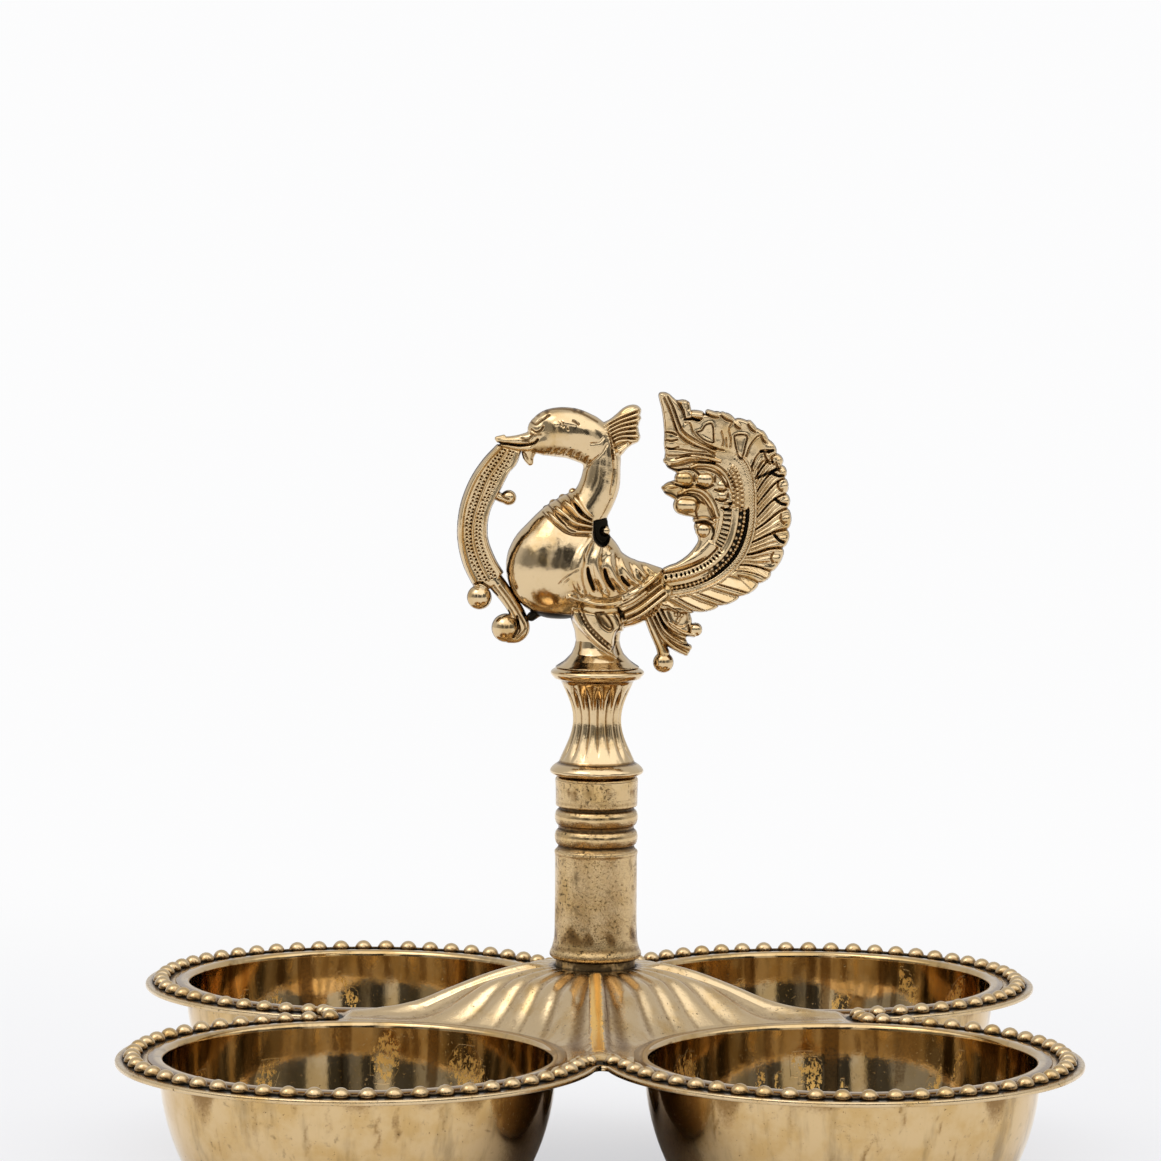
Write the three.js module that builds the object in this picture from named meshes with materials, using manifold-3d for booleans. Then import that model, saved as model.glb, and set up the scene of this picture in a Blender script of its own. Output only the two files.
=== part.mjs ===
// A brass puja tray: four round bowls hang in a clover-shaped plate with a beaded edge,
// and a bird-topped handle is bolted through the fluted dome in the middle.
// Millimetres, +Z up, origin on the table under the centre of the tray.
import * as THREE from "three";
import { mergeVertices } from "three/addons/utils/BufferGeometryUtils.js";
import Module from "manifold-3d";

const wasm = await Module();
wasm.setup();

// Bowls
const bowlMouthRadius = 28;
const bowlWall = 0.7;
const bowlDepth = 28; // from the table to the top of the plate
const bowlCurveDepth = 32; // where the side's curve would close below the plate's top
const bowlFloorRounding = 1.2;
const lipWidth = 1.3;
const lipHeight = 0.35;
const bowlSegments = 24;

// Plate
const rimWidth = 6.3; // from a bowl's side to the plate's edge
const webReach = 7; // how far the webs between the lobes run past the line of the bowl centres
const plateThickness = 0.8;
const lobeSegments = 32;
const webSegments = 4;

// Fluted dome
const domeHeight = 8;
const seatRadius = 6.6; // flat top that carries the handle
const domeOverrun = 2; // how far the dome runs past the line of the bowl centres
const domeShoulder = 6; // distance over which it climbs from a bowl's lip
const domeFullness = 1.05;
const domeFlutes = 24;
const domeFluteDepth = 0.45;
const domeFluteSteps = 2;
const domeRings = 8;

// Beaded wire along the edge
const beadInset = 2.5; // from the plate's edge to the beads' centre line
const beadPitch = 3.72;
const beadWidth = 2.3;
const beadHeight = 1.3;
const beadNeck = 0.45; // the wire's width between two beads, as a share of a bead's

// Fastening
const rodRadius = 2;
const clearance = 0.3;
const seatWasherRadius = 6;
const seatWasherThickness = 1;
const plateWasherRadius = 5;
const plateWasherThickness = 0.8;
const nutAcrossFlats = 7;
const nutHeight = 3.2;
const rodBelowNut = 1;
const rodIntoBird = 4.6;

// Stem
const stemLength = 27.6;
const stemRadius = 6.15;
const footRadius = 6.95;
const footHeight = 3.4;
const stemCoreRadius = 4;
const ringCount = 2;
const ringPitch = 2.95;
const ringGroove = 0.55;
const bandHeight = 4.6; // plain band above the rings
const turnedSegments = 24;

// Fluted baluster
const balusterLength = 16.7;
const balusterWaist = 3.7;
const balusterFlare = 5.7;
const flangeRadius = 7.1;
const flangeHeight = 2;
const balusterFlutes = 16;
const balusterFluteDepth = 0.35;

// Bird
const birdHeight = 41.3; // from its foot to the tip of its tail
const birdBodyHalfWidth = 6;
const headHalfWidth = 3;
const wingFeathers = 5;
const pedestalRadius = 5.6;
const pedestalNeck = 3.2;
const pedestalHeight = 6.5;
const tailThickness = 2.6;
const tailRelief = 0.7;
const garlandHalfThickness = 1.4;
const crestThickness = 2.4;
const sphereSegments = 10;

// Places that follow from the sizes
const bowlRadius = bowlMouthRadius + bowlWall;
const lobeRadius = bowlRadius + rimWidth;
const bowlOffset = lobeRadius; // neighbouring lobes just touch on the centre lines
const openingRadius = bowlRadius + clearance;
const lipRadius = openingRadius + lipWidth;
const plateTop = bowlDepth;
const plateUnder = plateTop - plateThickness;
const seatTop = plateTop + domeHeight;
const stemBottom = seatTop + seatWasherThickness;
const balusterBottom = stemBottom + stemLength;
const birdBottom = balusterBottom + balusterLength;
const rodHole = rodRadius + clearance;
const plateWasherTop = seatTop - plateThickness;
const nutTop = plateWasherTop - plateWasherThickness;
const rodBottom = nutTop - nutHeight - rodBelowNut;
const rodTop = birdBottom + rodIntoBird;
const drawing = birdHeight / 41.3; // the bird's side view is listed at a height of 41.3

const pressedBrass = new THREE.MeshStandardMaterial({ color: 0xb08d57, roughness: 0.3, metalness: 1 });
const castBrass = new THREE.MeshStandardMaterial({ color: 0xb5935f, roughness: 0.35, metalness: 1 });
const agedBrass = new THREE.MeshStandardMaterial({ color: 0x4a3c28, roughness: 0.6, metalness: 1 });
const platedSteel = new THREE.MeshStandardMaterial({ color: 0x9a9a96, roughness: 0.4, metalness: 1 });

const group = new THREE.Group();

// Turns a closed geometry into a solid that can be joined and cut.
function solid(geometry) {
  const bare = geometry.clone();
  bare.deleteAttribute("normal");
  bare.deleteAttribute("uv");
  const merged = mergeVertices(bare, 1e-4);
  return new wasm.Manifold(
    new wasm.Mesh({
      numProp: 3,
      vertProperties: merged.attributes.position.array,
      triVerts: new Uint32Array(merged.index.array),
    }),
  );
}

function geometryOf(made) {
  const mesh = made.getMesh();
  const geometry = new THREE.BufferGeometry();
  geometry.setAttribute("position", new THREE.BufferAttribute(mesh.vertProperties, 3));
  geometry.setIndex(new THREE.BufferAttribute(mesh.triVerts, 1));
  geometry.computeVertexNormals();
  return geometry;
}

function add(name, shape, material) {
  const mesh = new THREE.Mesh(shape.isBufferGeometry ? shape : geometryOf(shape), material);
  mesh.name = name;
  group.add(mesh);
}

const joined = (solids) => solids.reduce((sum, next) => sum.add(next));

// A body turned about Z from [radius, height] points that close on themselves or on the axis.
function turned(profile, segments) {
  const points = profile.map(([r, z]) => new THREE.Vector2(r, z));
  return new THREE.LatheGeometry(points, segments).rotateX(Math.PI / 2);
}

function tube(outer, inner, bottom, top, segments) {
  return turned([[inner, bottom], [outer, bottom], [outer, top], [inner, top], [inner, bottom]], segments);
}

function disc(radius, bottom, top, segments) {
  return turned([[0, bottom], [radius, bottom], [radius, top], [0, top]], segments);
}

// A plate with an outline from the bird's side view, centred on the plane y = middle.
function flatPlate(outline, thickness, middle = 0) {
  const shape = new THREE.Shape(outline.map((point) => point.clone().multiplyScalar(drawing)));
  const geometry = new THREE.ExtrudeGeometry(shape, { depth: thickness, bevelEnabled: false });
  return geometry.rotateX(Math.PI / 2).translate(0, middle + thickness / 2, 0);
}

// A tapering limb with rounded ends through stations of [x, z, half height, half width, y]. The
// first three belong to the bird's side view, the others are actual sizes. The half width is the
// half height unless given, and grow thickens the limb all round.
function limb(stations, { sides = 10, steps = 12, grow = 0 } = {}) {
  const curve = (pick) => new THREE.CatmullRomCurve3(stations.map(pick));
  const path = curve(([x, z, , , y = 0]) => new THREE.Vector3(x * drawing, y, z * drawing));
  const sizes = curve(([, , high, wide = high * drawing]) => new THREE.Vector3(0, high * drawing, wide));
  const across = new THREE.Vector3(0, 1, 0);
  const points = [];
  const tips = [];
  for (let i = 0; i <= steps; i++) {
    const centre = path.getPoint(i / steps);
    const { y: high, z: wide } = sizes.getPoint(i / steps);
    const along = path.getTangent(i / steps);
    const upward = new THREE.Vector3().crossVectors(across, along).normalize();
    if (i === 0) tips.push(centre.clone().addScaledVector(along, -0.5 * high - grow));
    if (i === steps) tips.push(centre.clone().addScaledVector(along, 0.5 * high + grow));
    for (let k = 0; k < sides; k++) {
      const angle = (2 * Math.PI * k) / sides;
      const point = centre.clone();
      point.addScaledVector(upward, (high + grow) * Math.cos(angle));
      point.addScaledVector(across, (wide + grow) * Math.sin(angle));
      points.push(point);
    }
  }
  const first = points.length;
  points.push(...tips);
  const faces = [];
  for (let k = 0; k < sides; k++) {
    const next = (k + 1) % sides;
    faces.push([first, next, k]);
    faces.push([first + 1, steps * sides + k, steps * sides + next]);
    for (let i = 0; i < steps; i++) {
      const low = i * sides;
      const high = low + sides;
      faces.push([low + k, low + next, high + next], [low + k, high + next, high + k]);
    }
  }
  const geometry = new THREE.BufferGeometry().setFromPoints(points);
  geometry.setIndex(faces.flat());
  return solid(geometry);
}

// A ball on the bird's middle plane, from its side view.
function ball(x, z, radius) {
  const sphere = new THREE.SphereGeometry(radius * drawing, sphereSegments, sphereSegments - 3);
  return solid(sphere.translate(x * drawing, 0, z * drawing));
}

// Bowls

// Outside radius of a bowl at a height above the table, less an inset for the inner surface.
function bowlSide(height, inset = 0) {
  const fall = (plateTop - height) / (bowlCurveDepth - inset);
  return (bowlRadius - inset) * Math.sqrt(1 - fall * fall);
}

function bowl() {
  const sideSteps = 5;
  const outside = [[0, 0], [bowlSide(0) - bowlFloorRounding, 0]];
  const inside = [];
  for (let i = 0; i <= sideSteps; i++) {
    const share = Math.sin(((i / sideSteps) * Math.PI) / 2);
    const low = bowlFloorRounding * 0.6;
    const outHeight = low + (plateTop - low) * share;
    const inHeight = bowlWall + (plateTop - bowlWall) * share;
    outside.push([bowlSide(outHeight), outHeight]);
    inside.unshift([bowlSide(inHeight, bowlWall), inHeight]);
  }
  const lip = [
    [lipRadius, plateTop],
    [lipRadius - 0.3, plateTop + lipHeight * 0.8],
    [bowlRadius, plateTop + lipHeight],
    [bowlMouthRadius + 0.2, plateTop + lipHeight * 0.6],
  ];
  return turned([...outside, ...lip, ...inside, [0, bowlWall]], bowlSegments);
}

// Plate

const webCentre = (webReach * (2 * lobeRadius - webReach)) / (2 * (lobeRadius - webReach));
const webRadius = webCentre - webReach;
const webAngle = Math.atan2(webCentre, bowlOffset);

// One quarter of the plate's edge, moved inwards by inset: from the middle of the front web,
// round the front right lobe, to the middle of the right web.
function quarterEdge(inset, lobeSteps, webSteps) {
  const edge = [];
  const half = Math.PI / 2 - webAngle;
  const put = (cx, cy, radius, angle) => {
    edge.push(new THREE.Vector2(cx + radius * Math.cos(angle), cy + radius * Math.sin(angle)));
  };
  for (let i = 0; i < webSteps; i++) {
    put(0, -bowlOffset - webCentre, webRadius + inset, Math.PI / 2 - (half * i) / webSteps);
  }
  const start = Math.PI + webAngle;
  const sweep = (3 * Math.PI) / 2 - 2 * webAngle;
  for (let i = 0; i <= lobeSteps; i++) {
    put(bowlOffset, -bowlOffset, lobeRadius - inset, start + (sweep * i) / lobeSteps);
  }
  for (let i = 1; i <= webSteps; i++) {
    const angle = Math.PI + webAngle + (half * i) / webSteps;
    put(bowlOffset + webCentre, 0, webRadius + inset, angle);
  }
  return edge;
}

function plateOutline() {
  const quarter = quarterEdge(0, lobeSegments, webSegments).slice(0, -1);
  const outline = [];
  for (let turn = 0; turn < 4; turn++) {
    const angle = (turn * Math.PI) / 2;
    outline.push(...quarter.map((p) => p.clone().rotateAround(new THREE.Vector2(), angle)));
  }
  return outline;
}

const lobeCentres = [
  ["front_left", -1, -1],
  ["front_right", 1, -1],
  ["back_right", 1, 1],
  ["back_left", -1, 1],
].map(([name, sx, sy], turn) => ({ name, turn: turn - 1, x: sx * bowlOffset, y: sy * bowlOffset }));

const domeReach = bowlOffset + domeOverrun;

// Height of the dome above the plate's flat: a bell that also falls to nothing at each bowl's lip.
function domeAt(x, y) {
  const radius = Math.hypot(x, y);
  if (radius >= domeReach) return 0;
  const spread = Math.max(0, (radius - seatRadius) / (domeReach - seatRadius));
  const bell = (0.5 + 0.5 * Math.cos(Math.PI * spread)) ** domeFullness;
  const toLip = Math.min(...lobeCentres.map((c) => Math.hypot(x - c.x, y - c.y))) - lipRadius - clearance;
  const climb = Math.sin((Math.PI / 2) * Math.min(1, Math.max(0, toLip / domeShoulder)));
  const fluted = Math.sin(Math.PI * Math.min(1, spread * 1.1)) * Math.min(1, climb * 2);
  const groove = 0.5 - 0.5 * Math.cos(domeFlutes * Math.atan2(y, x));
  return domeHeight * bell * climb - domeFluteDepth * fluted * groove;
}

function domeShell() {
  const across = domeFlutes * domeFluteSteps;
  const outer = domeReach + 1;
  const points = [];
  for (const drop of [0, plateThickness]) {
    for (let j = 0; j <= domeRings; j++) {
      const share = Math.max(0, j - 1) / (domeRings - 1);
      const radius = j === 0 ? rodHole : seatRadius + (outer - seatRadius) * share ** 0.9;
      for (let k = 0; k < across; k++) {
        const angle = (2 * Math.PI * k) / across;
        const x = radius * Math.cos(angle);
        const y = radius * Math.sin(angle);
        const rise = j === 0 ? domeHeight : domeAt(x, y);
        points.push(new THREE.Vector3(x, y, plateTop + rise - drop));
      }
    }
  }
  const under = (domeRings + 1) * across;
  const faces = [];
  for (let k = 0; k < across; k++) {
    const next = (k + 1) % across;
    for (let j = 0; j < domeRings; j++) {
      const near = j * across;
      const far = near + across;
      faces.push([near + k, far + k, far + next], [near + k, far + next, near + next]);
      faces.push([under + near + k, under + far + next, under + far + k]);
      faces.push([under + near + k, under + near + next, under + far + next]);
    }
    const rim = domeRings * across;
    faces.push([rim + k, under + rim + k, under + rim + next], [rim + k, under + rim + next, rim + next]);
    faces.push([k, under + next, under + k], [k, next, under + next]);
  }
  const geometry = new THREE.BufferGeometry().setFromPoints(points);
  geometry.setIndex(faces.flat());
  return solid(geometry);
}

function trayPlate() {
  const shape = new THREE.Shape(plateOutline());
  const flat = new THREE.ExtrudeGeometry(shape, { depth: plateThickness, bevelEnabled: false });
  const middle = disc(domeReach, plateUnder - 1, plateTop + 1, domeFlutes * domeFluteSteps);
  let plate = solid(flat.translate(0, 0, plateUnder)).subtract(solid(middle)).add(domeShell());
  for (const { x, y } of lobeCentres) {
    const opening = disc(openingRadius, plateUnder - domeHeight, seatTop, bowlSegments * 2);
    const seat = disc(lipRadius + clearance, plateTop, seatTop, bowlSegments * 2);
    plate = plate.subtract(solid(opening.translate(x, y, 0))).subtract(solid(seat.translate(x, y, 0)));
  }
  return plate;
}

// A length of beaded wire with a flat back, soldered along one lobe.
function beadWire() {
  const fine = quarterEdge(beadInset, 60, 10);
  const path = new THREE.CurvePath();
  for (let i = 1; i < fine.length; i++) path.add(new THREE.LineCurve(fine[i - 1], fine[i]));
  const beads = Math.round(path.getLength() / beadPitch);
  const end = clearance / 2 / path.getLength();
  const section = [[1, 0], [0.62, 0.8], [-0.62, 0.8], [-1, 0]];
  const stations = beads * 2;
  const crown = beadHeight / section[1][1];
  const points = [];
  for (let i = 0; i <= stations; i++) {
    const share = Math.min(1 - end, Math.max(end, i / stations));
    const centre = path.getPointAt(share);
    const along = path.getTangentAt(share);
    const swell = i % 2 ? 1 : beadNeck;
    for (const [side, up] of section) {
      const out = (side * swell * beadWidth) / 2;
      const height = plateTop + up * swell * crown;
      points.push(new THREE.Vector3(centre.x + along.y * out, centre.y - along.x * out, height));
    }
  }
  const size = section.length;
  const faces = [];
  for (let i = 0; i < stations; i++) {
    for (let k = 0; k < size; k++) {
      const next = (k + 1) % size;
      const low = i * size;
      const high = low + size;
      faces.push([low + k, high + next, low + next], [low + k, high + k, high + next]);
    }
  }
  const tail = stations * size;
  for (let k = 1; k < size - 1; k++) {
    faces.push([0, k, k + 1], [tail, tail + k + 1, tail + k]);
  }
  const geometry = new THREE.BufferGeometry().setFromPoints(points);
  geometry.setIndex(faces.flat());
  return geometry;
}

add("tray_plate", trayPlate(), pressedBrass);
for (const { name, turn, x, y } of lobeCentres) {
  add(`bowl_${name}`, bowl().translate(x, y, 0), pressedBrass);
  add(`bead_wire_${name}`, beadWire().rotateZ((turn * Math.PI) / 2), pressedBrass);
}

// Fastening

add("seat_washer", tube(seatWasherRadius, rodHole, seatTop, stemBottom, turnedSegments), agedBrass);
add("plate_washer", tube(plateWasherRadius, rodHole, nutTop, plateWasherTop, turnedSegments), platedSteel);

function hexNut() {
  const hexagon = disc(nutAcrossFlats / Math.sqrt(3), nutTop - nutHeight, nutTop, 6);
  const chamfer = turned(
    [
      [0, nutTop - nutHeight],
      [nutAcrossFlats / 2, nutTop - nutHeight],
      [nutAcrossFlats / 2 + nutHeight, nutTop],
      [0, nutTop],
    ],
    24,
  );
  const bore = disc(rodHole, nutTop - nutHeight - 1, nutTop + 1, 16);
  return solid(hexagon).intersect(solid(chamfer)).subtract(solid(bore));
}

add("hex_nut", hexNut(), platedSteel);
add("tie_rod", disc(rodRadius, rodBottom, rodTop, 16), platedSteel);

// Stem

function stemProfile() {
  const ringsBottom = stemLength - bandHeight - ringCount * ringPitch;
  const profile = [
    [stemCoreRadius, 0],
    [footRadius - 0.9, 0],
    [footRadius, footHeight * 0.2],
    [footRadius - 0.25, footHeight * 0.42],
    [stemRadius + 0.15, footHeight],
    [stemRadius, ringsBottom - 0.5],
    [stemRadius - 0.15, ringsBottom - 0.15],
  ];
  for (let ring = 0; ring < ringCount; ring++) {
    const low = ringsBottom + ring * ringPitch;
    profile.push([stemRadius - ringGroove, low + 0.1]);
    profile.push([stemRadius - 0.2, low + 0.45]);
    profile.push([stemRadius, low + ringPitch / 2]);
    profile.push([stemRadius - 0.2, low + ringPitch - 0.45]);
  }
  const bandBottom = stemLength - bandHeight;
  profile.push([stemRadius - ringGroove, bandBottom]);
  profile.push([stemRadius + 0.05, bandBottom + 0.5]);
  profile.push([stemRadius + 0.1, stemLength - 0.3]);
  profile.push([stemRadius - 0.1, stemLength]);
  profile.push([stemCoreRadius, stemLength], [stemCoreRadius, 0]);
  return profile;
}

add("stem_sleeve", turned(stemProfile(), turnedSegments).translate(0, 0, stemBottom), castBrass);

// Baluster between the stem and the bird

function baluster() {
  const low = flangeHeight + 0.3;
  const high = balusterLength - flangeHeight;
  const waistSteps = 6;
  const profile = [[rodHole, 0], [stemRadius - 0.3, 0], [flangeRadius, flangeHeight * 0.5]];
  profile.push([balusterFlare + 0.5, flangeHeight]);
  for (let i = 0; i <= waistSteps; i++) {
    const share = i / waistSteps;
    const pinch = Math.sin(Math.PI * share) ** 1.1;
    profile.push([balusterFlare - (balusterFlare - balusterWaist) * pinch, low + (high - low) * share]);
  }
  profile.push([flangeRadius, balusterLength - flangeHeight * 0.45]);
  profile.push([pedestalRadius + 0.4, balusterLength], [rodHole, balusterLength], [rodHole, 0]);
  const geometry = turned(profile, balusterFlutes * 2);
  const position = geometry.attributes.position;
  for (let i = 0; i < position.count; i++) {
    const [x, y, z] = [position.getX(i), position.getY(i), position.getZ(i)];
    const radius = Math.hypot(x, y);
    if (radius <= rodHole + 0.1 || z < low || z > high) continue;
    const fade = Math.sin((Math.PI * (z - low)) / (high - low));
    const groove = 0.5 - 0.5 * Math.cos(balusterFlutes * Math.atan2(y, x));
    const scale = 1 - (balusterFluteDepth * fade * groove) / radius;
    position.setXY(i, x * scale, y * scale);
  }
  return geometry;
}

add("baluster", baluster().translate(0, 0, balusterBottom), castBrass);

// Bird, in its own XZ plane with z counted from the top of the baluster. Its beak points to -X.
// The numbers below are its side view.

const mirrored = (made) => [made, made.mirror([0, 1, 0])];

function pedestal(grow) {
  const profile = [[0, 0], [pedestalRadius + grow, 0]];
  const steps = 5;
  for (let i = 1; i <= steps; i++) {
    const share = i / steps;
    const radius = pedestalNeck + (pedestalRadius - pedestalNeck) * (1 - share) ** 2.4;
    profile.push([radius + grow, pedestalHeight * share]);
  }
  profile.push([0, pedestalHeight + 2]);
  return solid(turned(profile, 20));
}

// Breast, belly and rump, as [x, z, half height, half width].
const trunkStations = [
  [-12.4, 15.8, 2.6, 0.33 * birdBodyHalfWidth],
  [-10.8, 15.8, 6, 0.76 * birdBodyHalfWidth],
  [-8, 16, 8, birdBodyHalfWidth],
  [-4.6, 15.3, 8, birdBodyHalfWidth],
  [-1.4, 14, 6.3, 0.92 * birdBodyHalfWidth],
  [1.4, 13.3, 4.8, 0.8 * birdBodyHalfWidth],
  [5, 13.1, 3.1, 0.6 * birdBodyHalfWidth],
  [9.2, 13.4, 1.6, 0.3 * birdBodyHalfWidth],
];

const neckStations = [
  [-4.4, 20.6, 3.9, 1.2 * headHalfWidth],
  [-1.2, 24.6, 2.9, 0.9 * headHalfWidth],
  [0.3, 27.8, 2.7, 0.83 * headHalfWidth],
  [0.9, 30.8, 2.6, 0.83 * headHalfWidth],
  [0.1, 33.9, 2.8, 0.9 * headHalfWidth],
  [-2.6, 35.4, 3.1, headHalfWidth],
  [-5.8, 35.6, 3.3, headHalfWidth],
  [-8.6, 34.8, 2.5, 0.77 * headHalfWidth],
];

const beakStations = [
  [-9.2, 34.6, 1.8, 0.57 * headHalfWidth],
  [-11.6, 34, 1.1, 0.43 * headHalfWidth],
  [-14.2, 33.7, 0.7],
];

// How far the bird's flank stands from its middle plane at a point of its side view.
function flankAt(x, z) {
  const at = Math.max(1, trunkStations.findIndex((station) => station[0] >= x));
  const [before, after] = [trunkStations[at - 1], trunkStations[at]];
  const share = (x - before[0]) / (after[0] - before[0]);
  const [, middle, high, wide] = before.map((value, i) => value + (after[i] - value) * share);
  return wide * Math.sqrt(Math.max(0, 1 - ((z - middle) / high) ** 2));
}

function birdTrunk(grow = 0) {
  return joined([
    limb(trunkStations, { sides: 14, steps: 11, grow }),
    limb(neckStations, { sides: 10, steps: 11, grow }),
    limb(beakStations, { sides: 8, steps: 3, grow }),
    pedestal(grow),
  ]);
}

// A ridge lying on both flanks through points of [x, z, half height], raised out of the flank.
function flankRidges(points, raise = 0) {
  const onFlank = points.map(([x, z, high]) => {
    return [x, z, high, high * drawing, flankAt(x, z) + raise * drawing];
  });
  return mirrored(limb(onFlank, { sides: 6, steps: 4 }));
}

function birdBody() {
  const crestOutline = [
    [-0.5, 36.2],
    [3.1, 38.9],
    [4.9, 39.4],
    [6.2, 38.6],
    [5.8, 36.6],
    [6, 34.8],
    [4.6, 33.2],
    [2.9, 32],
    [1, 31],
  ];
  const crest = flatPlate(crestOutline.map(([x, z]) => new THREE.Vector2(x, z)), crestThickness);
  const parts = [birdTrunk(), solid(crest), ball(1, 20.7, 1.1)];
  for (let i = 0; i < wingFeathers; i++) {
    const top = [-2 + i * 2.1, 18.2 - i * 0.85, 0.8];
    const middle = [-1.2 + i * 2, 14.6 - i * 0.3, 0.95];
    const bottom = [0.7 + i * 1.8, 10.8 + i * 0.35, 0.75];
    parts.push(...flankRidges([top, middle, bottom]));
  }
  parts.push(...flankRidges([[-4.2, 10.6, 0.6], [1, 9.9, 0.7], [5.2, 10.9, 0.7], [9, 13, 0.7]], 0.2));
  const coarse = { sides: 8, steps: 4 };
  const wide = birdBodyHalfWidth;
  const flapLine = [[-2.4, 8.6, 1.7, 0.73 * wide], [0.2, 6, 1.9, 0.68 * wide]];
  flapLine.push([2.7, 2.8, 0.6, 0.65 * wide]);
  const bandLine = [[2.4, 7.2, 1, 0.57 * wide], [5.8, 8.8, 1.3, 0.52 * wide]];
  bandLine.push([9.4, 12, 1.4, 0.37 * wide]);
  const flap = limb(flapLine, coarse);
  const band = limb(bandLine, coarse);
  const bore = disc(rodHole, -1, rodIntoBird + clearance, 16);
  return joined([...parts, flap, band]).subtract(solid(bore));
}

// Outer edge of the tail: an ellipse with a scallop for each feather.
const tailCentre = new THREE.Vector2(16.4, 24.5);
const tailReach = new THREE.Vector2(12.3, 14);
const tailScallops = 14;
const tailScallop = 0.037; // a scallop's height as a share of the tail's reach

function tailEdge(share) {
  const angle = THREE.MathUtils.degToRad(100 - 178 * share);
  const bump = 1 + tailScallop * Math.abs(Math.sin(Math.PI * tailScallops * share));
  return new THREE.Vector2(
    tailCentre.x + tailReach.x * bump * Math.cos(angle),
    tailCentre.y + tailReach.y * bump * Math.sin(angle),
  );
}

function tailOutline() {
  const edge = [];
  const steps = tailScallops * 3;
  for (let i = 0; i <= steps; i++) edge.push(tailEdge(i / steps));
  const fan = [[15.4, 8], [14.6, 5], [14.1, 1.9], [12.3, 2.4], [10.9, 2.6], [8.4, 4.6], [7, 6.6]];
  const root = [[9.6, 9.6], [9.4, 12], [9.6, 14.6], [12.3, 15.6], [14.4, 17.2], [15.6, 19]];
  const scrolls = [[16.6, 22.2], [14.6, 23.4], [12.2, 25.6], [9.8, 26.9], [11.8, 28.6]];
  const leaf = [[10, 31.2], [10.4, 34.4], [9.9, 37.6], [9.1, 41.3], [10.6, 41.2], [12.6, 39.4]];
  const traced = [...fan, ...root, ...scrolls, ...leaf].map(([x, z]) => new THREE.Vector2(x, z));
  return [...edge, ...traced];
}

function tailPlume() {
  const half = tailThickness / 2;
  const parts = [solid(flatPlate(tailOutline(), tailThickness))];
  const low = [[9.6, 13], [14.4, 14.8], [18.4, 18.2], [20.6, 22.8]];
  const high = [[21, 27.4], [19.4, 31.4], [15.6, 34.2], [11.4, 38.6]];
  const spine = [...low, ...high].map(([x, z]) => [x, z, 1.5, half + tailRelief]);
  parts.push(limb(spine, { sides: 8, steps: 16 }));
  const feathers = 11;
  for (let i = 0; i < feathers; i++) {
    const share = 0.12 + (0.8 * i) / (feathers - 1);
    const tip = tailEdge(share).lerp(tailCentre, 0.06);
    const root = tailEdge(Math.min(1, share + 0.07)).lerp(tailCentre, 0.42);
    const stations = [[root.x, root.y, 0.5, half + tailRelief * 0.3], [tip.x, tip.y, 0.85, half + tailRelief * 0.8]];
    parts.push(limb(stations, { sides: 6, steps: 2 }));
  }
  parts.push(limb([[8.6, 7, 1], [9.6, 4.4, 1.1], [10.3, 1.6, 1.2]], { sides: 8, steps: 4 }));
  const knobs = [
    [16, 20.6, 1.4],
    [13.3, 24.6, 1.7],
    [13.2, 28.7, 1.4],
    [16.2, 29.2, 1.4],
    [15.1, 5.4, 1.4],
    [10.4, 0.9, 1.75],
  ];
  for (const [x, z, radius] of knobs) parts.push(ball(x, z, radius));
  return joined(parts).subtract(birdTrunk(clearance));
}

function beakGarland() {
  const strapLine = [
    [-12.7, 32.6, 1.3],
    [-15.1, 31, 1.9],
    [-17.5, 27.6, 2.1],
    [-18.8, 24, 2.2],
    [-19, 20.4, 2.2],
    [-18.3, 16.9, 2.3],
    [-16.7, 13.6, 2.3],
    [-14.3, 10.6, 1.6],
    [-12.3, 8.2, 1.2],
  ];
  const strapStations = strapLine.map(([x, z, high]) => [x, z, high, garlandHalfThickness]);
  const strap = limb(strapStations, { sides: 8, steps: 16 });
  const curlLine = [[-12.2, 8.6, 1.2], [-10.9, 6.6, 1.1], [-11.4, 4.7, 1], [-13.2, 4.1, 0.9]];
  const curl = limb(curlLine, { sides: 8, steps: 8 });
  const stalk = limb([[-16.2, 26.4, 0.7], [-14.8, 26, 0.7], [-13.8, 25.6, 0.7]], { sides: 6, steps: 3 });
  const knobs = [ball(-13.7, 25.4, 1.4), ball(-17.5, 10.5, 1.85), ball(-13.3, 5.8, 2)];
  return joined([strap, curl, stalk, ...knobs]).subtract(birdBody()).subtract(birdTrunk(clearance));
}

add("bird_body", birdBody().translate([0, 0, birdBottom]), castBrass);
add("tail_plume", tailPlume().subtract(birdBody()).translate([0, 0, birdBottom]), castBrass);
add("beak_garland", beakGarland().translate([0, 0, birdBottom]), castBrass);

export default group;
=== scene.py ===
"""Brass puja tray: four bowls in a beaded clover plate, with a bird-topped carrying handle."""
import math

import bpy
import numpy as np
from mathutils import Matrix, Vector


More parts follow.
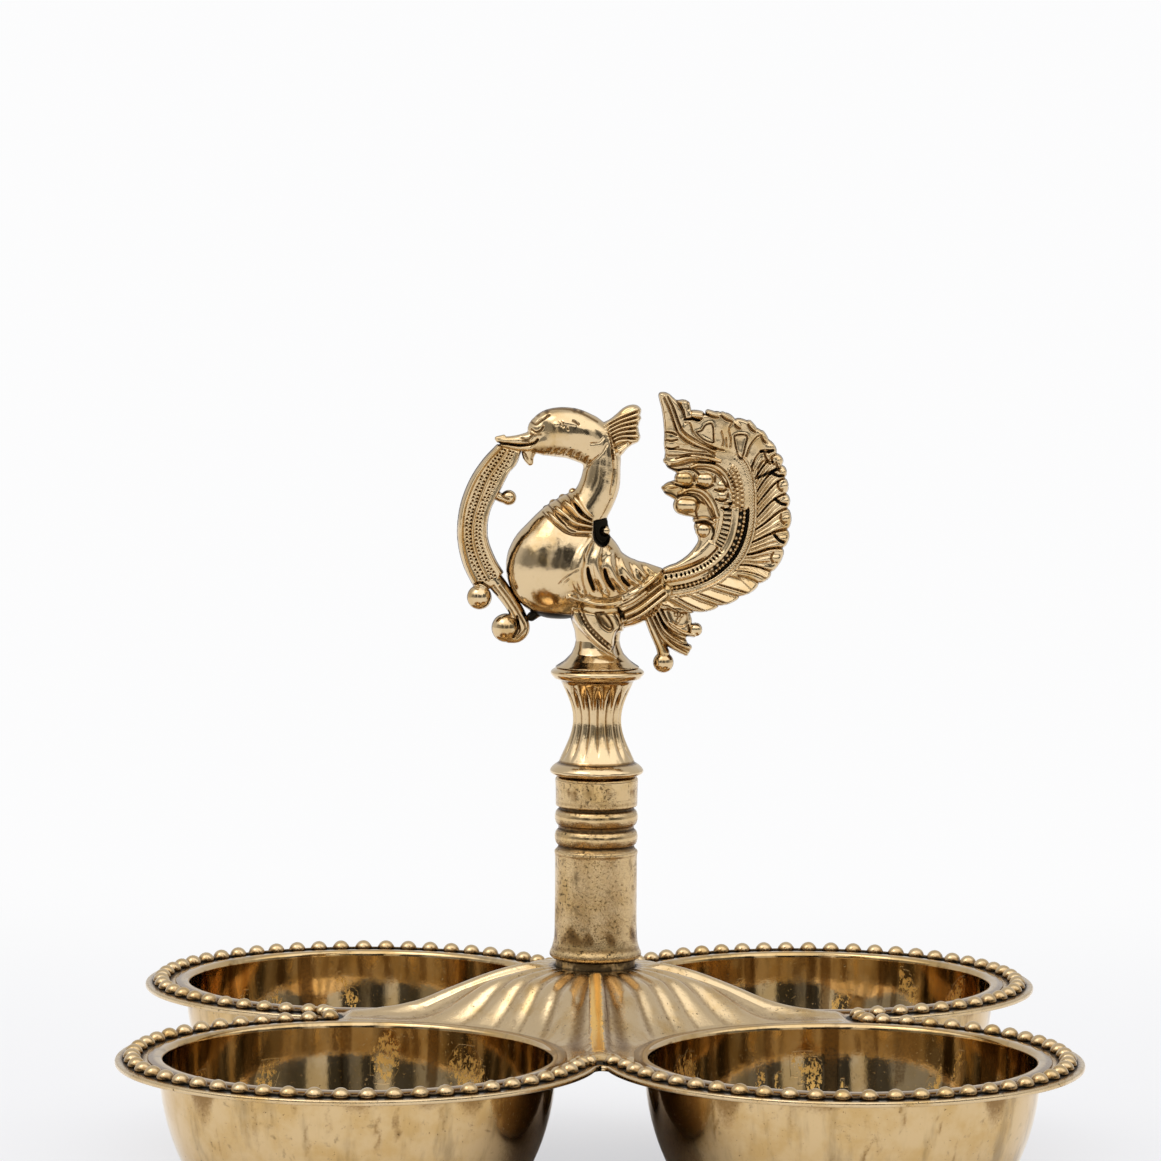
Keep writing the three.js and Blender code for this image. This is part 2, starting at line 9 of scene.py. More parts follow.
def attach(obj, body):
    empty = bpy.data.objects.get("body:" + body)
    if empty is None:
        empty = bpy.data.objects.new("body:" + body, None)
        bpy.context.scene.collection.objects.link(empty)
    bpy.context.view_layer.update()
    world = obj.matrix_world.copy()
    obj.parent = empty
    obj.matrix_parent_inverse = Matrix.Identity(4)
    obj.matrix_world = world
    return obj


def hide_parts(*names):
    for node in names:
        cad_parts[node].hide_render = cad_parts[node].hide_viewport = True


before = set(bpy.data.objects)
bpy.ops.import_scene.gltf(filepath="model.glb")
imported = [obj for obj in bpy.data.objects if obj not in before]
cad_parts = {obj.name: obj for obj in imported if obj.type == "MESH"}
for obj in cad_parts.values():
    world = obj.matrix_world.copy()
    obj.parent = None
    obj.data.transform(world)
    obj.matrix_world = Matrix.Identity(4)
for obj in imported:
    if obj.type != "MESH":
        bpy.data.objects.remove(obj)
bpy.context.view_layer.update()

bl_info = {
    "name": "Brass puja tray",
    "version": (1, 0, 0),
    "blender": (4, 5, 0),
    "location": "View3D > Sidebar > Puja tray",
    "description": "Builds the finished pieces of a four-bowl brass puja tray on its solid frame",
    "category": "Object",
}

MM = 0.001
WHOLE_TURN = 2 * math.pi
QUARTER = math.pi / 2

# the tray, in mm
BOWL_DEPTH = 28.0
BOWL_CURVE = 32.0  # half height of the oval that a bowl's side follows
BOWL_STEPS = 288
HOLE_GAP = 0.3  # between a bowl and the plate's opening
EDGE_ROUND = 0.3  # how far the plate's edge is rounded
BEAD_INSET = 2.5  # from the plate's edge to the middle of the beads
DOME_FLUTES = 24
SEAM_HEIGHT = 0.01  # less than this counts as level with the lip

# the handle, in mm
STEM_BOTTOM, STEM_STEPS = 37.0, 144
BALUSTER_BOTTOM, BALUSTER_STEPS, BALUSTER_FLUTES = 64.6, 224, 16
DRAWING_UP = 28.3  # the casts are drawn in mm above this height
DRAWING_LEFT = 0.3  # and with the handle's axis this far to the right
NO_METAL = -9.0  # half thickness where nothing is cast
NEAR_METAL = -5.0  # lines are cut only where the half thickness is above this
PEDESTAL_BOTTOM, PEDESTAL_TOP = 53.0, 65.5  # in the drawing

# the studio
PHOTO_WIDTH, FOCAL_LENGTH, FILM_WIDTH = 1161, 5164.6, 36  # pixels, pixels, mm
EYE = (-18.69, -772.76, 157.235)  # mm
PITCH_YAW_ROLL = (4.656, 1.190, 0.404)  # degrees
LAMP_PLACE, LAMP_AIM, LAMP_SIZE = (-0.5, -0.35, 0.95), (0, 0, 0.05), (0.5, 0.4)
FLOOR_RINGS = (6.0, 1.5, 0.5, 0.2, 0.0)  # radii in metres

LOBES = {"front_left": (-1, -1), "front_right": (1, -1), "back_right": (1, 1), "back_left": (-1, 1)}


# Sizes and colours


def length(name, description, default):
    return bpy.props.FloatProperty(
        name=name, description=description, default=default, min=0, unit="LENGTH", subtype="DISTANCE", precision=5
    )


def tint(name, description, default):
    return bpy.props.FloatVectorProperty(
        name=name, description=description, default=default, size=3, min=0, max=1, subtype="COLOR"
    )


class TraySizes(bpy.types.PropertyGroup):
    bowl_mouth: length("Bowl mouth", "Inner radius of a bowl at its mouth", 0.028)
    bowl_wall: length("Bowl wall", "Thickness of a bowl's wall", 0.0007)
    lip_width: length("Lip", "How far a bowl's lip lies over the plate", 0.0016)
    rim_width: length("Rim", "Width of the plate round a bowl", 0.0063)
    web_reach: length("Web", "How far the webs run past the line of the bowl centres", 0.007)
    plate_thickness: length("Plate", "Thickness of the pressed plate", 0.0008)
    dome_height: length("Dome", "Height of the dome above the plate", 0.008)
    flute_depth: length("Flutes", "Depth of the dome's flutes", 0.0007)
    bead_pitch: length("Bead pitch", "Distance from bead to bead", 0.00372)
    bead_width: length("Bead width", "Width of a bead", 0.0027)
    bead_height: length("Bead height", "Height of a bead above the plate", 0.0014)


class HandleSizes(bpy.types.PropertyGroup):
    stem_radius: length("Stem", "Radius of the stem", 0.00615)
    foot_radius: length("Foot", "Radius of the stem's flared foot", 0.00695)
    waist_radius: length("Waist", "Radius of the baluster's waist", 0.0038)
    flange_radius: length("Flange", "Radius of the baluster's flanges", 0.0071)
    baluster_flute: length("Baluster flutes", "Depth of the baluster's flutes", 0.00042)
    bird_grain: length("Bird detail", "Smallest detail carved on the bird", 0.00012)
    plume_grain: length("Plume detail", "Smallest detail carved on the plume and the garland", 0.0001)


class Finish(bpy.types.PropertyGroup):
    brass: tint("Brass", "Clean brass", (0.63, 0.475, 0.28))
    warm: tint("Warm brass", "Brass that has started to turn", (0.52, 0.345, 0.145))
    tarnish: tint("Tarnish", "Brown tarnish", (0.13, 0.088, 0.042))
    # umber and patina also colour the painted shade that the meshes mark
    umber: tint("Umber", "Brown edge of the patina", (0.215, 0.118, 0.04))
    patina: tint("Patina", "Black patina in the recesses", (0.016, 0.013, 0.009))
    # painted highlight: a warm golden colour for the painted highlights and reflections that the meshes mark below
    # nought
    painted_gleam: tint("Golden flecks", "Worn flecks that scatter a warm light", (0.9, 0.56, 0.17))
    steel: tint("Steel", "Plated steel of the fastening", (0.5, 0.5, 0.48))


class Studio(bpy.types.PropertyGroup):
    paper: tint("Paper", "Colour of the floor and the backdrop", (0.975, 0.975, 0.98))
    # painted shade: the floor's glow is darker in front
    painted_front_shade: tint("Front paper", "Colour of the floor in front", (0.875, 0.875, 0.895))
    shaded_paper: tint("Shaded paper", "Colour of the floor round the object", (0.84, 0.84, 0.85))
    glow: bpy.props.FloatProperty(name="Softbox", description="Level of the light overhead", default=0.95, min=0)
    lamp: bpy.props.FloatProperty(
        name="Lamp", description="Power of the key lamp", default=1.2, min=0, unit="POWER", subtype="POWER"
    )


# Making meshes


def unit(value):
    """Holds a value between nought and one."""
    return np.clip(value, 0, 1)


def hump(value, width):
    """One where the value is nought, falling away on both sides within about the width."""
    return np.exp(-(value / width) ** 2)


def signed_root(value):
    """Square root that keeps the sign."""
    return np.sign(value) * np.sqrt(np.abs(value))


def apart_in_turn(angle, middle):
    """How far each angle is turned from the middle one, either way."""
    return np.abs((angle - middle + math.pi) % WHOLE_TURN - math.pi)


def run_along(line):
    """Length of a line as far as each of its points, in its first two values."""
    return np.concatenate([[0], np.cumsum(np.hypot(*np.diff(line[:, :2], axis=0).T))])


def nearest(px, pz, a, b):
    """Share of the way from a to b that is nearest each point, and the steps from there to the point."""
    d = b[:2] - a[:2]
    t = unit(((px - a[0]) * d[0] + (pz - a[1]) * d[1]) / max(d @ d, 1e-12))
    return t, px - a[0] - t * d[0], pz - a[1] - t * d[1]


def new_piece(name, vertices, faces, patina, body, nodes, material):
    """A smooth piece from corners in mm, faces and how dark each corner is."""
    mesh = bpy.data.meshes.new(name)
    corners = np.asarray(vertices, float) * MM
    if isinstance(faces, np.ndarray):
        size = faces.shape[1]
        mesh.vertices.add(len(corners))
        mesh.vertices.foreach_set("co", corners.ravel())
        mesh.loops.add(faces.size)
        mesh.loops.foreach_set("vertex_index", faces.ravel().astype(np.int32))
        mesh.polygons.add(len(faces))
        mesh.polygons.foreach_set("loop_start", np.arange(0, faces.size, size, dtype=np.int32))
        mesh.update(calc_edges=True)
    else:
        mesh.from_pydata(corners.tolist(), [], faces)
        mesh.update()
    mesh.validate()
    mesh.shade_smooth()
    shade = mesh.attributes.new("patina", "FLOAT", "POINT")
    shade.data.foreach_set("value", np.asarray(patina, np.float32))
    mesh.materials.append(material)
    piece = bpy.data.objects.new(name, mesh)
    bpy.context.scene.collection.objects.link(piece)
    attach(piece, body)
    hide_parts(*nodes)
    return piece


def curve(points, per_span=6):
    """Smooth line through rows of numbers."""
    p = np.array(points, float)
    if len(p) < 3:
        t = np.linspace(0, 1, per_span + 1)[:, None]
        return p[0] * (1 - t) + p[-1] * t
    padded = np.vstack([2 * p[0] - p[1], p, 2 * p[-1] - p[-2]])
    t = (np.arange(per_span) / per_span)[:, None]
    rows = [
        0.5 * (2 * b + (c - a) * t + (2 * a - 5 * b + 4 * c - d) * t * t + (3 * b - a - 3 * c + d) * t ** 3)
        for a, b, c, d in zip(padded, padded[1:], padded[2:], padded[3:])
    ]
    return np.vstack(rows + [p[-1:]])


def softened(profile, steps=4):
    """Rounds the corners of rows of radius, height and corner reach."""
    rows = []
    for k, row in enumerate(profile):
        here = np.array(row[:2], float)
        reach = row[2] if len(row) > 2 else 0
        if not reach or k in (0, len(profile) - 1):
            rows.append(here)
            continue
        before = np.array(profile[k - 1][:2], float) - here
        after = np.array(profile[k + 1][:2], float) - here
        a = here + before * min(0.45, reach / np.hypot(*before))
        b = here + after * min(0.45, reach / np.hypot(*after))
        for i in range(steps + 1):
            t = i / steps
            rows.append((1 - t) ** 2 * a + 2 * t * (1 - t) * here + t * t * b)
    return np.array(rows)


def turned(profile, steps, shape=None):
    """Corners and faces of a body turned about Z. Shape may move the corners by their angle."""
    profile = np.asarray(profile, float)
    angle = np.linspace(0, WHOLE_TURN, steps, endpoint=False)
    radius = np.repeat(profile[:, 0][:, None], steps, axis=1)
    height = np.repeat(profile[:, 1][:, None], steps, axis=1)
    if shape is not None:
        radius, height = shape(radius, height, angle[None, :])
    places = np.stack([radius * np.cos(angle), radius * np.sin(angle), height], axis=-1)
    corners, index = [], []
    for row, (r, z) in enumerate(profile):
        if r < 1e-6:
            index.append([len(corners)] * steps)
            corners.append((0.0, 0.0, z))
        else:
            index.append(list(range(len(corners), len(corners) + steps)))
            corners.extend(map(tuple, places[row]))
    faces = []
    for low, high in zip(index, index[1:]):
        for k in range(steps):
            n = (k + 1) % steps
            if low[k] == low[n]:
                faces.append((low[k], high[n], high[k]))
            elif high[k] == high[n]:
                faces.append((low[k], low[n], high[k]))
            else:
                faces.append((low[k], low[n], high[n], high[k]))
    return np.array(corners), faces


def grid_faces(rows, columns, first=0, closed=False):
    """Faces of a grid of corners, joined round along its columns when closed."""
    faces = []
    for i in range(rows - 1):
        for k in range(columns if closed else columns - 1):
            n = (k + 1) % columns
            low, high = first + i * columns, first + (i + 1) * columns
            faces.append((low + k, low + n, high + n, high + k))
    return faces


def skin(value, low, step):
    """Faces and corners round the region of a 3-D grid where value is below nought."""
    inside = value < 0
    cells = np.array(value.shape)
    owners, places, loops = [], [], []
    for axis in range(3):
        first = [slice(None)] * 3
        second = [slice(None)] * 3
        first[axis], second[axis] = slice(0, -1), slice(1, None)
        crossed = np.argwhere(inside[tuple(first)] != inside[tuple(second)])
        a = value[tuple(crossed.T)]
        ahead = crossed.copy()
        ahead[:, axis] += 1
        b = value[tuple(ahead.T)]
        place = crossed.astype(float)
        place[:, axis] += a / (a - b)
        u, v = [k for k in range(3) if k != axis]
        ring = []
        for du, dv in ((0, 0), (-1, 0), (-1, -1), (0, -1)):
            cell = crossed.copy()
            cell[:, u] += du
            cell[:, v] += dv
            flat = np.ravel_multi_index(tuple(cell.T), tuple(cells))
            ring.append(flat)
            owners.append(flat)
            places.append(place)
        ring = np.stack(ring, axis=1)
        turn = (a > 0) != (axis == 1)
        ring[turn] = ring[turn][:, ::-1]
        loops.append(ring)
    owners = np.concatenate(owners)
    places = np.concatenate(places)
    used, where = np.unique(owners, return_inverse=True)
    count = np.bincount(where)
    corners = np.stack([np.bincount(where, weights=places[:, k]) / count for k in range(3)], axis=1)
    faces = np.searchsorted(used, np.concatenate(loops))
    return np.array(low) + corners * np.array(step), faces


def soft_max(a, b, blend):
    """The larger of two heights, with a fillet about as wide as blend."""
    near = np.maximum(blend - np.abs(a - b), 0) / blend
    return np.maximum(a, b) + near * near * blend / 4


class Relief:
    """Half thickness of a casting that is alike on both faces, over its side view in mm."""

    def __init__(self, low, high, step):
        self.step = step
        self.x = np.arange(low[0], high[0] + step, step)
        self.z = np.arange(low[1], high[1] + step, step)
        self.height = np.full((len(self.x), len(self.z)), NO_METAL)
        self.dark = np.zeros_like(self.height)

    def window(self, points, reach):
        lowest = np.min(points[:, :2], axis=0) - reach
        highest = np.max(points[:, :2], axis=0) + reach
        i0, i1 = np.searchsorted(self.x, [lowest[0], highest[0]])
        j0, j1 = np.searchsorted(self.z, [lowest[1], highest[1]])
        area = slice(i0, i1), slice(j0, j1)
        return (area,) + tuple(np.meshgrid(self.x[area[0]], self.z[area[1]], indexing="ij"))

    def along(self, line, reach):
        """Window, distance to a line as a share of its width, and the line's values there."""
        area, px, pz = self.window(line, reach)
        best = np.full(px.shape, np.inf)
        values = np.zeros(px.shape + (line.shape[1] + 1,))
        for k, (a, b) in enumerate(zip(line, line[1:])):
            t, dx, dz = nearest(px, pz, a, b)
            share = np.hypot(dx, dz) / (a[2] + t * (b[2] - a[2]))
            closer = share < best
            best[closer] = share[closer]
            t = t[closer][:, None]
            values[closer] = np.hstack([a + t * (b - a), (k + t) / (len(line) - 1)])
        return area, best, values

    def beside(self, rows):
        """Window, mm along a line, distance to its right side and the line's third value there."""
        line = curve(rows, 12)
        run = run_along(line)
        area, px, pz = self.window(line, 8)
        best = np.full(px.shape, np.inf)
        s, out, third = np.zeros_like(best), np.zeros_like(best), np.zeros_like(best)
        for k, (a, b) in enumerate(zip(line, line[1:])):
            d = b[:2] - a[:2]
            t, dx, dz = nearest(px, pz, a, b)
            gap = np.hypot(dx, dz)
            closer = gap < best
            best[closer] = gap[closer]
            s[closer] = (run[k] + t * np.hypot(*d))[closer]
            out[closer] = (gap * np.sign(dx * d[1] - dz * d[0]))[closer]
            third[closer] = (a[2] + t * (b[2] - a[2]))[closer]
        return area, s, out, third

    def join(self, area, height, blend):
        """Joins a form to what is there, with a fillet."""
        self.height[area] = soft_max(self.height[area], height, blend)

    def darken(self, area, amount):
        self.dark[area] = np.maximum(self.dark[area], amount)

    def limb(self, points, blend=0.6, per_span=8):
        """Joins a limb through rows of x, z, half height, half width."""
        line = curve([tuple(p) + (p[2],) if len(p) == 3 else tuple(p) for p in points], per_span)
        area, q, values = self.along(line, np.max(line[:, 2]) * 1.5 + 1)
        inside = 1 - q * q
        self.join(area, values[..., 3] * signed_root(inside), blend)

    def ball(self, x, z, radius, lift=0.0, blend=0.15):
        """Joins a ball, or a knob that stands as far as lift above the middle."""
        area, px, pz = self.window(np.array([[x, z]]), radius * 1.6)
        inside = radius ** 2 - (px - x) ** 2 - (pz - z) ** 2
        self.join(area, signed_root(inside) + np.where(inside > 0, lift, 0), blend)

    def inside_of(self, outline, smooth, reach):
        """Window and distance inside a closed outline, below nought outside."""
        outline = list(outline) + [outline[0]]
        loop = curve(outline, smooth) if smooth else np.array(outline, float)
        area, px, pz = self.window(loop, reach)
        gap = np.full(px.shape, np.inf)
        inside = np.zeros(px.shape, bool)
        for a, b in zip(loop, loop[1:]):
            d = b - a
            gap = np.minimum(gap, np.hypot(*nearest(px, pz, a, b)[1:]))
            if d[1]:
                inside ^= ((a[1] > pz) != (b[1] > pz)) & (px < a[0] + (pz - a[1]) * d[0] / d[1])
        return area, np.where(inside, gap, -gap)

    def slab(self, outline, half, edge=0.5, blend=0.3, smooth=3):
        """Joins a flat plate with a rounded edge."""
        area, depth = self.inside_of(outline, smooth, 1.5)
        rounded = 1 - (1 - unit(depth / edge)) ** 2
        outside = -half * np.sqrt(np.maximum(-depth, 0) / edge)
        self.join(area, np.where(depth >= 0, half * np.sqrt(rounded), outside), blend)

    def sink(self, outline, depth, edge=0.3, dark=0.3):
        """Sinks a flat cell with a soft wall."""
        area, inner = self.inside_of(outline, 4, 1)
        step = unit(inner / edge * 0.5 + 0.5)
        self.height[area] -= depth * step * step * (3 - 2 * step)
        self.darken(area, dark * unit(1 - np.abs(inner) / 0.4))

    def raise_line(self, points, width, height, dark=0.0, ends=0.0, taper=False):
        """Adds a rounded ridge, or with a height below nought a groove, as low as it is narrow when tapered."""
        line = curve([tuple(p[:2]) + ((p[2],) if len(p) > 2 else (width,)) for p in points])
        area, q, values = self.along(line, np.max(line[:, 2]) * 1.05)
        bump = np.where(q < 1, 0.5 + 0.5 * np.cos(math.pi * np.minimum(q, 1)), 0)
        if taper:
            bump = bump * values[..., 2] / np.max(line[:, 2])
        if ends:
            bump = bump * unit(np.minimum(values[..., -1], 1 - values[..., -1]) / ends)
        self.height[area] += np.where(self.height[area] > NEAR_METAL, height * bump, 0)
        self.darken(area, dark * bump)

    def raise_lines(self, *rows):
        """Adds a ridge or groove for each row of points, width, height and, for a groove, how dark it is."""
        for row in rows:
            self.raise_line(*row)

    def dark_spot(self, x, z, radius, amount=1.0):
        """Darkens a round spot."""
        area, px, pz = self.window(np.array([[x, z]]), radius)
        self.darken(area, amount * unit(1.5 - 1.5 * np.hypot(px - x, pz - z) / radius))

    def polish_off(self, x, z, radius):
        """Takes the black off a raised spot."""
        area, px, pz = self.window(np.array([[x, z]]), radius)
        self.dark[area] = np.where(np.hypot(px - x, pz - z) < radius, 0.1, self.dark[area])

    def keep(self, base, least=0.45):
        """Leaves no hole where the casting was solid before its lines were cut."""
        self.height = np.where(base > least, np.maximum(self.height, least), self.height)

    def blurred(self, field, reach):
        """A field smoothed over as far as reach."""
        size = max(1, int(round(reach / self.step)))
        kernel = np.exp(-np.linspace(-2, 2, 2 * size + 1) ** 2)
        kernel /= kernel.sum()
        for axis in (0, 1):
            wide = [(0, 0), (0, 0)]
            wide[axis] = (size, size)
            padded = np.pad(field, wide, mode="edge")
            count = field.shape[axis]
            field = sum(w * np.take(padded, range(k, k + count), axis=axis) for k, w in enumerate(kernel))
        return field

    def settle(self, reach):
        """Smooths what is there so far and keeps its outline."""
        self.height = signed_root(self.blurred(self.height * np.abs(self.height), reach))

    def patina(self, fall):
        """How black each point is: what was marked, and what lies as far as fall below its surroundings."""
        level = np.maximum(self.height, 0)
        weight = (self.height > 0).astype(float)
        mean = self.blurred(level, 0.5) / np.maximum(self.blurred(weight, 0.5), 1e-3)
        hollow = np.clip((mean - level - 0.04) / fall, 0, 0.85)
        return unit(np.maximum(self.dark, hollow))

    def mesh(self, floor=None, fall=0.3):
        """Corners in the object's mm, faces and patina of the whole piece."""
        widest = float(np.max(self.height)) + 2.5 * self.step
        across = np.arange(-widest, widest + self.step, self.step)
        squared = self.height * np.abs(self.height)
        value = across[None, :, None] ** 2 - squared[:, None, :]
        if floor is not None:
            value = np.maximum(value, (floor - self.z)[None, None, :] * 6)
        for side in (0, -1):
            value[side] = np.maximum(value[side], 0.01)
            value[:, side] = np.maximum(value[:, side], 0.01)
            value[:, :, side] = np.maximum(value[:, :, side], 0.01)
        corners, faces = skin(value, (self.x[0], across[0], self.z[0]), (self.step,) * 3)
        dark = self.patina(fall)
        i = np.clip((corners[:, 0] - self.x[0]) / self.step, 0, len(self.x) - 1.001)
        j = np.clip((corners[:, 2] - self.z[0]) / self.step, 0, len(self.z) - 1.001)
        fi, fj = i % 1, j % 1
        i, j = i.astype(int), j.astype(int)
        shade = (dark[i, j] * (1 - fi) + dark[i + 1, j] * fi) * (1 - fj)
        shade += (dark[i, j + 1] * (1 - fi) + dark[i + 1, j + 1] * fi) * fj
        corners = corners + np.array([-DRAWING_LEFT, 0.0, DRAWING_UP])
        return corners, faces, shade


def stations(points, pitch, start=0.0):
    """Places along a smooth line at an even pitch."""
    line = curve(points, 12)
    run = run_along(line)
    for s in np.arange(start, run[-1], pitch):
        yield np.array([np.interp(s, run, line[:, k]) for k in (0, 1)])


# Finishes


class Wiring:
    """Makes and joins the shader nodes of one material or world."""

    def __init__(self, owner):
        owner.use_nodes = True
        self.tree = owner.node_tree
        self.tree.nodes.clear()

    def make(self, kind, **settings):
        made = self.tree.nodes.new(kind)
        for key, value in settings.items():
            setattr(made, key, value)
        return made

    def feed(self, socket, value):
        if isinstance(value, bpy.types.NodeSocket):
            self.tree.links.new(value, socket)
        else:
            socket.default_value = value

    def sum(self, operation, *values, clamp=False):
        made = self.make("ShaderNodeMath", operation=operation, use_clamp=clamp)
        for socket, value in zip(made.inputs, values):
            self.feed(socket, value)
        return made.outputs[0]

    def plus(self, a, b, clamp=False):
        return self.sum("ADD", a, b, clamp=clamp)

    def minus(self, a, b):
        return self.sum("SUBTRACT", a, b)

    def times(self, a, b):
        return self.sum("MULTIPLY", a, b)

    def between(self, value, low, high, to_low=0.0, to_high=1.0):
        made = self.make("ShaderNodeMapRange", interpolation_type="SMOOTHSTEP")
        names = ("Value", "From Min", "From Max", "To Min", "To Max")
        for name, given in zip(names, (value, low, high, to_low, to_high)):
            self.feed(made.inputs[name], given)
        return made.outputs["Result"]

    def blend(self, share, low, high):
        made = self.make("ShaderNodeMix", data_type="RGBA")
        self.feed(made.inputs[0], share)
        for socket, value in ((made.inputs[6], low), (made.inputs[7], high)):
            self.feed(socket, value if isinstance(value, bpy.types.NodeSocket) else (*value, 1))
        return made.outputs[2]

    def noise(self, place, scale, detail, roughness, stretch=None, distortion=0.0):
        if stretch:
            mapping = self.make("ShaderNodeMapping")
            self.feed(mapping.inputs["Vector"], place)
            mapping.inputs["Scale"].default_value = stretch
            place = mapping.outputs[0]
        made = self.make("ShaderNodeTexNoise")
        self.feed(made.inputs["Vector"], place)
        given = {"Scale": scale, "Detail": detail, "Roughness": roughness, "Distortion": distortion}
        for name, value in given.items():
            made.inputs[name].default_value = value
        return made.outputs["Fac"]

    def metal(self, colour, roughness, relief, depth):
        """Bare metal with a fine relief, which is depth metres deep."""
        bump = self.make("ShaderNodeBump")
        bump.inputs["Distance"].default_value = depth
        self.feed(bump.inputs["Height"], relief)
        shader = self.make("ShaderNodeBsdfPrincipled")
        given = {"Base Color": colour, "Roughness": roughness, "Normal": bump.outputs[0], "Metallic": 1.0}
        for name, value in given.items():
            self.feed(shader.inputs[name], value)
        return shader

    def mixed(self, share, first, second):
        made = self.make("ShaderNodeMixShader")
        for socket, value in zip(made.inputs, (share, first.outputs[0], second.outputs[0])):
            self.feed(socket, value)
        return made

    def show(self, shader, kind):
        """Ends the wiring: the shader becomes the surface of the material or the world."""
        output = self.make(f"ShaderNodeOutput{kind}")
        self.feed(output.inputs["Surface"], shader.outputs[0])


def brass(name, look, *, polish, cloud, tarnish, spots, waves, grain, streaks=0.0, warmth=0.0):
    """Brass with clouded colour, brown tarnish, black specks, and the patina, painted shade and painted highlights
    that the mesh carries.
    """
    material = bpy.data.materials.new(name)
    wires = Wiring(material)
    place = wires.make("ShaderNodeTexCoord").outputs["Object"]
    clouds = wires.noise(place, 170, 4, 0.6)
    blotches = wires.noise(place, 420, 5, 0.65, distortion=0.4)
    specks = wires.noise(place, 2300, 3, 0.7)
    fine = wires.noise(place, 5200, 2, 0.5)
    mark = wires.make("ShaderNodeAttribute", attribute_type="GEOMETRY", attribute_name="patina").outputs["Fac"]

    warm_share = wires.between(clouds, 0.62 - cloud * 0.4, 0.85 - cloud * 0.3, warmth, 1.0)
    colour = wires.blend(warm_share, look.brass, look.warm)
    worn = wires.between(blotches, 0.72 - tarnish * 0.35, 0.86 - tarnish * 0.3, 0.0, min(1.0, 0.25 + tarnish))
    if streaks:
        runs = wires.noise(place, 260, 4, 0.6, stretch=(1, 1, 0.18))
        runs = wires.between(runs, 0.5, 0.72, 0.0, streaks)
        worn = wires.sum("MAXIMUM", worn, runs)
    colour = wires.blend(worn, colour, look.tarnish)
    # a mark below nought paints a golden highlight
    crumbs = wires.noise(place, 1500, 4, 0.75, stretch=(1, 1, 0.6))
    painted_gleam_share = wires.sum("MULTIPLY_ADD", wires.minus(crumbs, 0.5), 2.6, mark)
    painted_gleam_share = wires.times(wires.between(painted_gleam_share, -0.2, -0.4), wires.between(mark, -0.02, -0.12))
    colour = wires.blend(painted_gleam_share, colour, look.painted_gleam)
    pit = wires.between(specks, 0.70 - spots * 0.12, 0.76 - spots * 0.10, 0.0, 0.9)
    pit = wires.times(pit, wires.between(clouds, 0.4, 0.62, 0.25, 1.0))
    # a mark just below nought is burnished: smoother, with fewer pits
    rough = wires.sum("MAXIMUM", wires.between(mark, -0.018, -0.004, 0.35, 1.0), wires.between(mark, -0.022, -0.03))
    pit = wires.times(pit, rough)
    # the edge of the patina and of the painted shade is broken up by the specks
    ragged = wires.plus(mark, wires.times(wires.minus(specks, 0.5), 0.4))
    ragged = wires.times(ragged, wires.between(mark, 0.02, 0.14))
    brown = wires.between(ragged, 0.1, 0.5, 0.0, 0.9)
    colour = wires.blend(brown, colour, look.umber)
    black = wires.sum("MAXIMUM", wires.between(ragged, 0.5, 0.9), pit)
    colour = wires.blend(black, colour, look.patina)

    gloss = wires.between(clouds, 0.3, 0.75, polish * 0.75, polish * 1.35)
    gloss = wires.times(gloss, rough)
    gloss = wires.plus(gloss, wires.times(worn, 0.16))
    gloss = wires.plus(gloss, wires.times(painted_gleam_share, wires.between(mark, -0.7, -0.5, 0.1, 0.35)))
    gloss = wires.plus(gloss, wires.times(black, 0.34), clamp=True)

    relief = wires.times(wires.noise(place, 330, 2, 0.5), waves)
    relief = wires.plus(relief, wires.times(fine, 0.05 * grain))
    relief = wires.plus(relief, wires.times(specks, 0.12 * grain))
    relief = wires.times(relief, rough)
    relief = wires.minus(relief, wires.times(black, 0.10))
    wires.show(wires.metal(colour, gloss, relief, 0.0003), "Material")
    return material


def plated_steel(name, look):
    """Dull plated steel with fine scratches."""
    material = bpy.data.materials.new(name)
    wires = Wiring(material)
    place = wires.make("ShaderNodeTexCoord").outputs["Object"]
    clouds = wires.noise(place, 350, 4, 0.6)
    scratches = wires.noise(place, 900, 3, 0.6, stretch=(1, 1, 7))
    colour = wires.blend(wires.between(clouds, 0.35, 0.8), look.steel, (0.32, 0.3, 0.26))
    roughness = wires.between(scratches, 0.3, 0.7, 0.28, 0.5)
    wires.show(wires.metal(colour, roughness, scratches, 0.00005), "Material")
    return material


# Bowls


def bowl_outside(sizes):
    return (sizes.bowl_mouth + sizes.bowl_wall) / MM


def lobe_middle(sizes):
    """How far a bowl's axis is from the tray's middle, along X and along Y."""
    return (sizes.bowl_mouth + sizes.bowl_wall + sizes.rim_width) / MM


def bowl_side(height, inset, outer):
    """Radius of a bowl's side at a height, as far as inset inside its outer face."""
    fall = (BOWL_DEPTH - height) / (BOWL_CURVE - inset)
    return (outer - inset) * np.sqrt(1 - fall ** 2)


